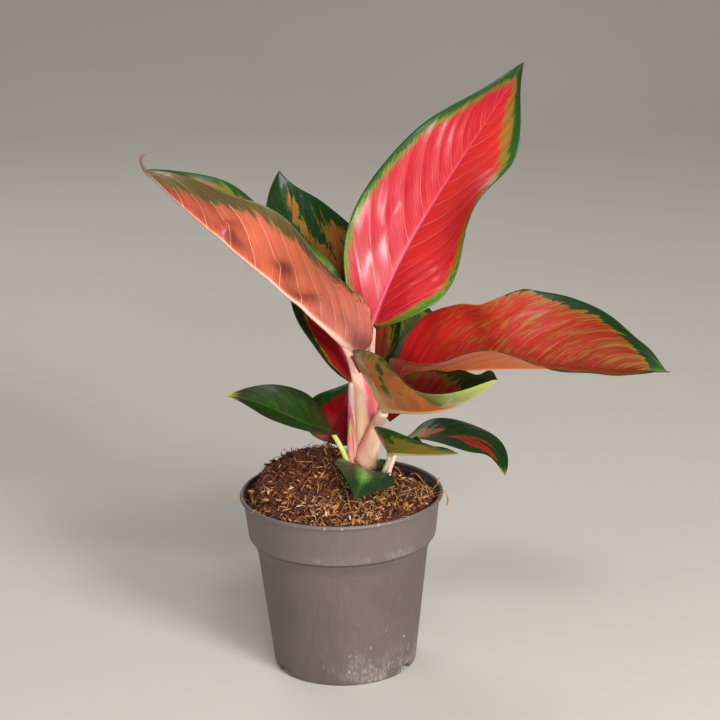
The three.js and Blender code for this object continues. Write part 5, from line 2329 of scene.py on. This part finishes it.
FIBRE_GOLD = GrainFinish("golden_fibre", "#8a5a2e", "#c08a50", "#dcb47a", scale=300, bump=0.3, depth=0.0002)
FIBRE_BROWN = GrainFinish("brown_fibre", "#4a220f", "#7c4220", "#a46436", scale=300, bump=0.3, depth=0.0002)
ROOT_PALE = GrainFinish("pale_root", "#a8805a", "#d0ac84", "#e4cdae", scale=300, bump=0.3, depth=0.0002)
CRUMB_DARK = GrainFinish("dark_crumb", "#240e06", "#4a2010", "#783e20", scale=500, depth=0.0004)
CRUMB_RED = GrainFinish("red_brown_crumb", "#4a1e0c", "#823f1e", "#b0683c", scale=500, depth=0.0004)
CHIP_TAN = GrainFinish("tan_chip", "#8c5a30", "#c48e54", "#e2b880", scale=420, bump=0.5)
CHIP_CREAM = GrainFinish("cream_chip", "#c49a68", "#e8cc9c", "#f8ecd0", scale=420, bump=0.4)
CHIP_BROWN = GrainFinish("brown_chip", "#4c2410", "#8a4e28", "#b4743e", scale=420, bump=0.5)

LITTER = (
    Litter("soil_crumbs", CRUMB_DARK, 2600, (0.0008, 0.0026), (0.6, 1), (0.5, 0.9), seed=5),
    Litter("soil_red_crumbs", CRUMB_RED, 4200, (0.0007, 0.0022), (0.5, 1), (0.5, 0.9), seed=7, lift=0.0005),
    Litter(
        "soil_clods", CRUMB_DARK, 170, (0.003, 0.006), (0.6, 1), (0.5, 0.8), seed=11, detail=2, jitter=0.2,
    ),
    Litter(
        "brown_chips", CHIP_BROWN, 600, (0.002, 0.0065), (0.2, 0.45), (0.12, 0.25), seed=13, front=0.6,
        lift=0.0015,
    ),
    Litter(
        "tan_chips", CHIP_TAN, 520, (0.0024, 0.0074), (0.18, 0.36), (0.1, 0.2), seed=17, front=0.93,
        lift=0.0019,
    ),
    Litter(
        "cream_chips", CHIP_CREAM, 70, (0.002, 0.0056), (0.22, 0.45), (0.1, 0.2), seed=19, front=0.93,
        lift=0.0021,
    ),
)
FIBRES = (
    Fibres(
        "golden_fibres", FIBRE_GOLD, 190, (0.004, 0.012), (0.00016, 0.00036), seed=23, front=0.9,
        lift=0.0008,
    ),
    Fibres("brown_fibres", FIBRE_BROWN, 520, (0.003, 0.01), (0.0001, 0.00028), seed=29),
    Fibres(
        "pale_roots", ROOT_PALE, 26, (0.006, 0.013), (0.0001, 0.0002), seed=31, bend=2.2, front=0.9,
        lift=0.001,
    ),
)
BIG_CHIPS = (
    (
        CHIP_CREAM,
        (
            (0.037, -0.012, 0.0078, 0.0024, 25), (0.03, -0.029, 0.0066, 0.0023, 10),
            (-0.052, 0.003, 0.0044, 0.0022, 70), (0.012, -0.033, 0.006, 0.0016, -15),
        ),
    ),
    (
        CHIP_TAN,
        (
            (-0.021, -0.002, 0.011, 0.0027, -12), (-0.012, -0.006, 0.0095, 0.0025, 8),
            (0.048, -0.02, 0.008, 0.0026, 40), (0.014, -0.039, 0.0076, 0.0021, 45),
            (0.006, -0.016, 0.007, 0.0018, -60), (-0.028, -0.024, 0.0074, 0.0017, 60),
            (-0.005, -0.044, 0.0072, 0.0024, 5), (0.026, -0.022, 0.0062, 0.0016, -50),
        ),
    ),
)
STRAY_FIBRES = (
    (
        (0.05, -0.008, 0.105, 0.0001), (0.058, -0.0086, 0.1074, 0.0002), (0.0606, -0.009, 0.1076, 0.0002),
        (0.0618, -0.0094, 0.1058, 0.0003), (0.0624, -0.0098, 0.103, 0.0006),
        (0.0618, -0.01, 0.0996, 0.0004),
    ),
    (
        (0.054, 0.003, 0.105, 0.0002), (0.057, 0.0026, 0.1084, 0.0006), (0.0572, 0.003, 0.1104, 0.0007),
        (0.058, 0.0028, 0.112, 0.0003),
    ),
    (
        (0.054, -0.012, 0.1056, 0.0002), (0.0592, -0.0132, 0.108, 0.0002), (0.0608, -0.012, 0.109, 0.0002),
        (0.062, -0.011, 0.1094, 0.0001),
    ),
    (
        (-0.054, -0.012, 0.106, 0.0001), (-0.06, -0.0124, 0.1076, 0.0001),
        (-0.064, -0.0112, 0.1084, 0.0001), (-0.069, -0.0118, 0.108, 0.00007),
    ),
    ((-0.047, -0.03, 0.105, 0.0002), (-0.0498, -0.0318, 0.1072, 0.0003), (-0.0514, -0.0332, 0.106, 0.0003)),
    ((0.033, -0.044, 0.105, 0.0002), (0.0352, -0.0466, 0.1072, 0.0002), (0.0382, -0.0472, 0.107, 0.0002)),
    (
        (0.0084, 0.001, 0.125, 0.0002), (0.0108, 0.0006, 0.123, 0.0003), (0.0126, 0.0004, 0.1206, 0.0004),
        (0.012, 0.0006, 0.115, 0.0004),
    ),
)


@dataclass(frozen=True)
class Lamp:
    """A soft square light that looks at the plant: its place, its side and its watts."""

    name: str
    place: Point
    size: float
    watts: float
    target: Point = (0.02, 0, 0.18)

    def build(self) -> None:
        """Makes the light."""
        data = bpy.data.lights.new(self.name, "AREA")
        data.size = self.size
        data.energy = self.watts
        look = Vector(self.target) - Vector(self.place)
        turn = look.to_track_quat("-Z", "Y").to_matrix().to_4x4()
        link(self.name, data).matrix_world = Matrix.Translation(self.place) @ turn


LAMPS = (
    Lamp("key_light", (1.0, -1.35, 0.95), 0.5, 26),
    Lamp("high_light", (0.26, -1.02, 1.46), 0.3, 6.5),
    Lamp("front_light", (0.2, -1.5, 0.34), 0.4, 12),
    Lamp("fill_light", (-0.9, -0.78, 0.72), 0.16, 1.0),
    Lamp("back_light", (-0.5, 1.2, 1.4), 0.9, 8),
)


@dataclass(frozen=True)
class Studio:
    """The camera at the photograph's viewing angle, soft lights and a plain pale floor.

    pitch and roll turn the camera, in degrees. The floor reaches floor_half each way, and bends
    up into a wall from bend_y on, on a radius of bend_r.
    """

    camera_place: Point = (0.0127, -1.2, 0.551)
    pitch: float = 73.1
    roll: float = -1.3
    lens: float = 108.45
    sensor: float = 36.0
    far: float = 20.0
    floor_half: float = 4.0
    bend_y: float = 1.6
    bend_r: float = 1.2
    floor_code: str = "#d4cec4"
    cloud_code: str = "#d9d4cb"
    room_code: str = "#f2efe9"
    room_light: float = 0.18

    def build(self) -> None:
        """Makes the camera, the lights, the floor and the world's light."""
        scene = bpy.context.scene
        scene.view_settings.view_transform = "Standard"
        data = bpy.data.cameras.new("photo_camera")
        data.lens = self.lens
        data.sensor_width = self.sensor
        data.clip_end = self.far
        camera = link("photo_camera", data)
        turn = Matrix.Rotation(math.radians(self.pitch), 4, "X")
        turn = turn @ Matrix.Rotation(math.radians(self.roll), 4, "Z")
        camera.matrix_world = Matrix.Translation(self.camera_place) @ turn
        scene.camera = camera
        for lamp in LAMPS:
            lamp.build()
        self._world()
        self._floor()

    def _world(self) -> None:
        """Gives the room an even pale light."""
        world = bpy.data.worlds.new("soft_room")
        world.use_nodes = True
        background = world.node_tree.nodes["Background"]
        background.inputs["Color"].default_value = linear(self.room_code)
        background.inputs["Strength"].default_value = self.room_light
        bpy.context.scene.world = world

    def _floor(self) -> None:
        """Makes a plain floor that bends up into a wall far behind the pot."""
        bm = bmesh.new()
        bmesh.ops.create_grid(bm, x_segments=2, y_segments=60, size=self.floor_half)
        for vert in bm.verts:
            over = max(vert.co.y - self.bend_y, 0.0)
            bend = min(over / self.bend_r, math.pi / 2)
            if over > 0:
                straight = max(over - self.bend_r * math.pi / 2, 0.0)
                vert.co.z = self.bend_r * (1 - math.cos(bend)) + straight
                vert.co.y = self.bend_y + self.bend_r * math.sin(bend)
        graph = Graph("studio_floor")
        cloud = graph.noise(graph.place(), 3.0, 3)
        share = graph.ramp(cloud, 0.3, 0.7, 0, 0.3)
        colour = graph.mix(share, self.floor_code, self.cloud_code)
        material = graph.finish(colour, 0.9, cloud, 0.0, 0.001)
        new_object("studio_floor", take_mesh(bm, "studio_floor"), [material])


@dataclass(frozen=True)
class PottedEvergreen:
    """The whole plant in its pot."""

    pot: Pot = Pot()
    leaves: tuple[Blade, ...] = LEAVES
    stem: StemBody = STEM
    side_petiole: Stalk = SIDE_PETIOLE
    sheaths: tuple[Sheath, ...] = SHEATHS
    small_stalks: tuple[Stalk, ...] = SMALL_STALKS
    litter: tuple[Litter, ...] = LITTER
    fibres: tuple[Fibres, ...] = FIBRES

    def build(self) -> None:
        """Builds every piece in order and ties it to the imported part."""
        soil = Soil(self.pot)
        register(self.pot.build(), ["pot"])
        register(soil.build(), ["soil"])
        for bits in (*self.litter, *self.fibres):
            register(bits.build(soil))
        for index, (finish, chips) in enumerate(BIG_CHIPS):
            register(big_chips(f"big_chips_{index}", finish, chips, soil))
        strays = start_curve("stray_fibres")
        for strand in STRAY_FIBRES:
            add_strand(strays, strand)
        register(finish_curve("stray_fibres", strays, FIBRE_GOLD))
        register(self.stem.build(), ["main_stem"])
        register(self.side_petiole.build())
        for sheath in self.sheaths:
            register(sheath.build())
        for stalk in self.small_stalks:
            register(stalk.build(), [stalk.name])
        for leaf in self.leaves:
            register(leaf.build(), [leaf.node] if leaf.replaces_node else [])
        hook = Stalk("left_leaf_dried_tip", Slot.SALMON, DRIED_TIP, LEFT_TIP_HOOK, sides=10, rings=8)
        register(hook.build())


def main() -> None:
    """Builds the studio and the plant."""
    logging.basicConfig(level=logging.INFO, format="%(name)s: %(message)s")
    Studio().build()
    PottedEvergreen().build()
    bpy.context.view_layer.update()
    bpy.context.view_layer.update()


if __name__ == "__main__":
    main()
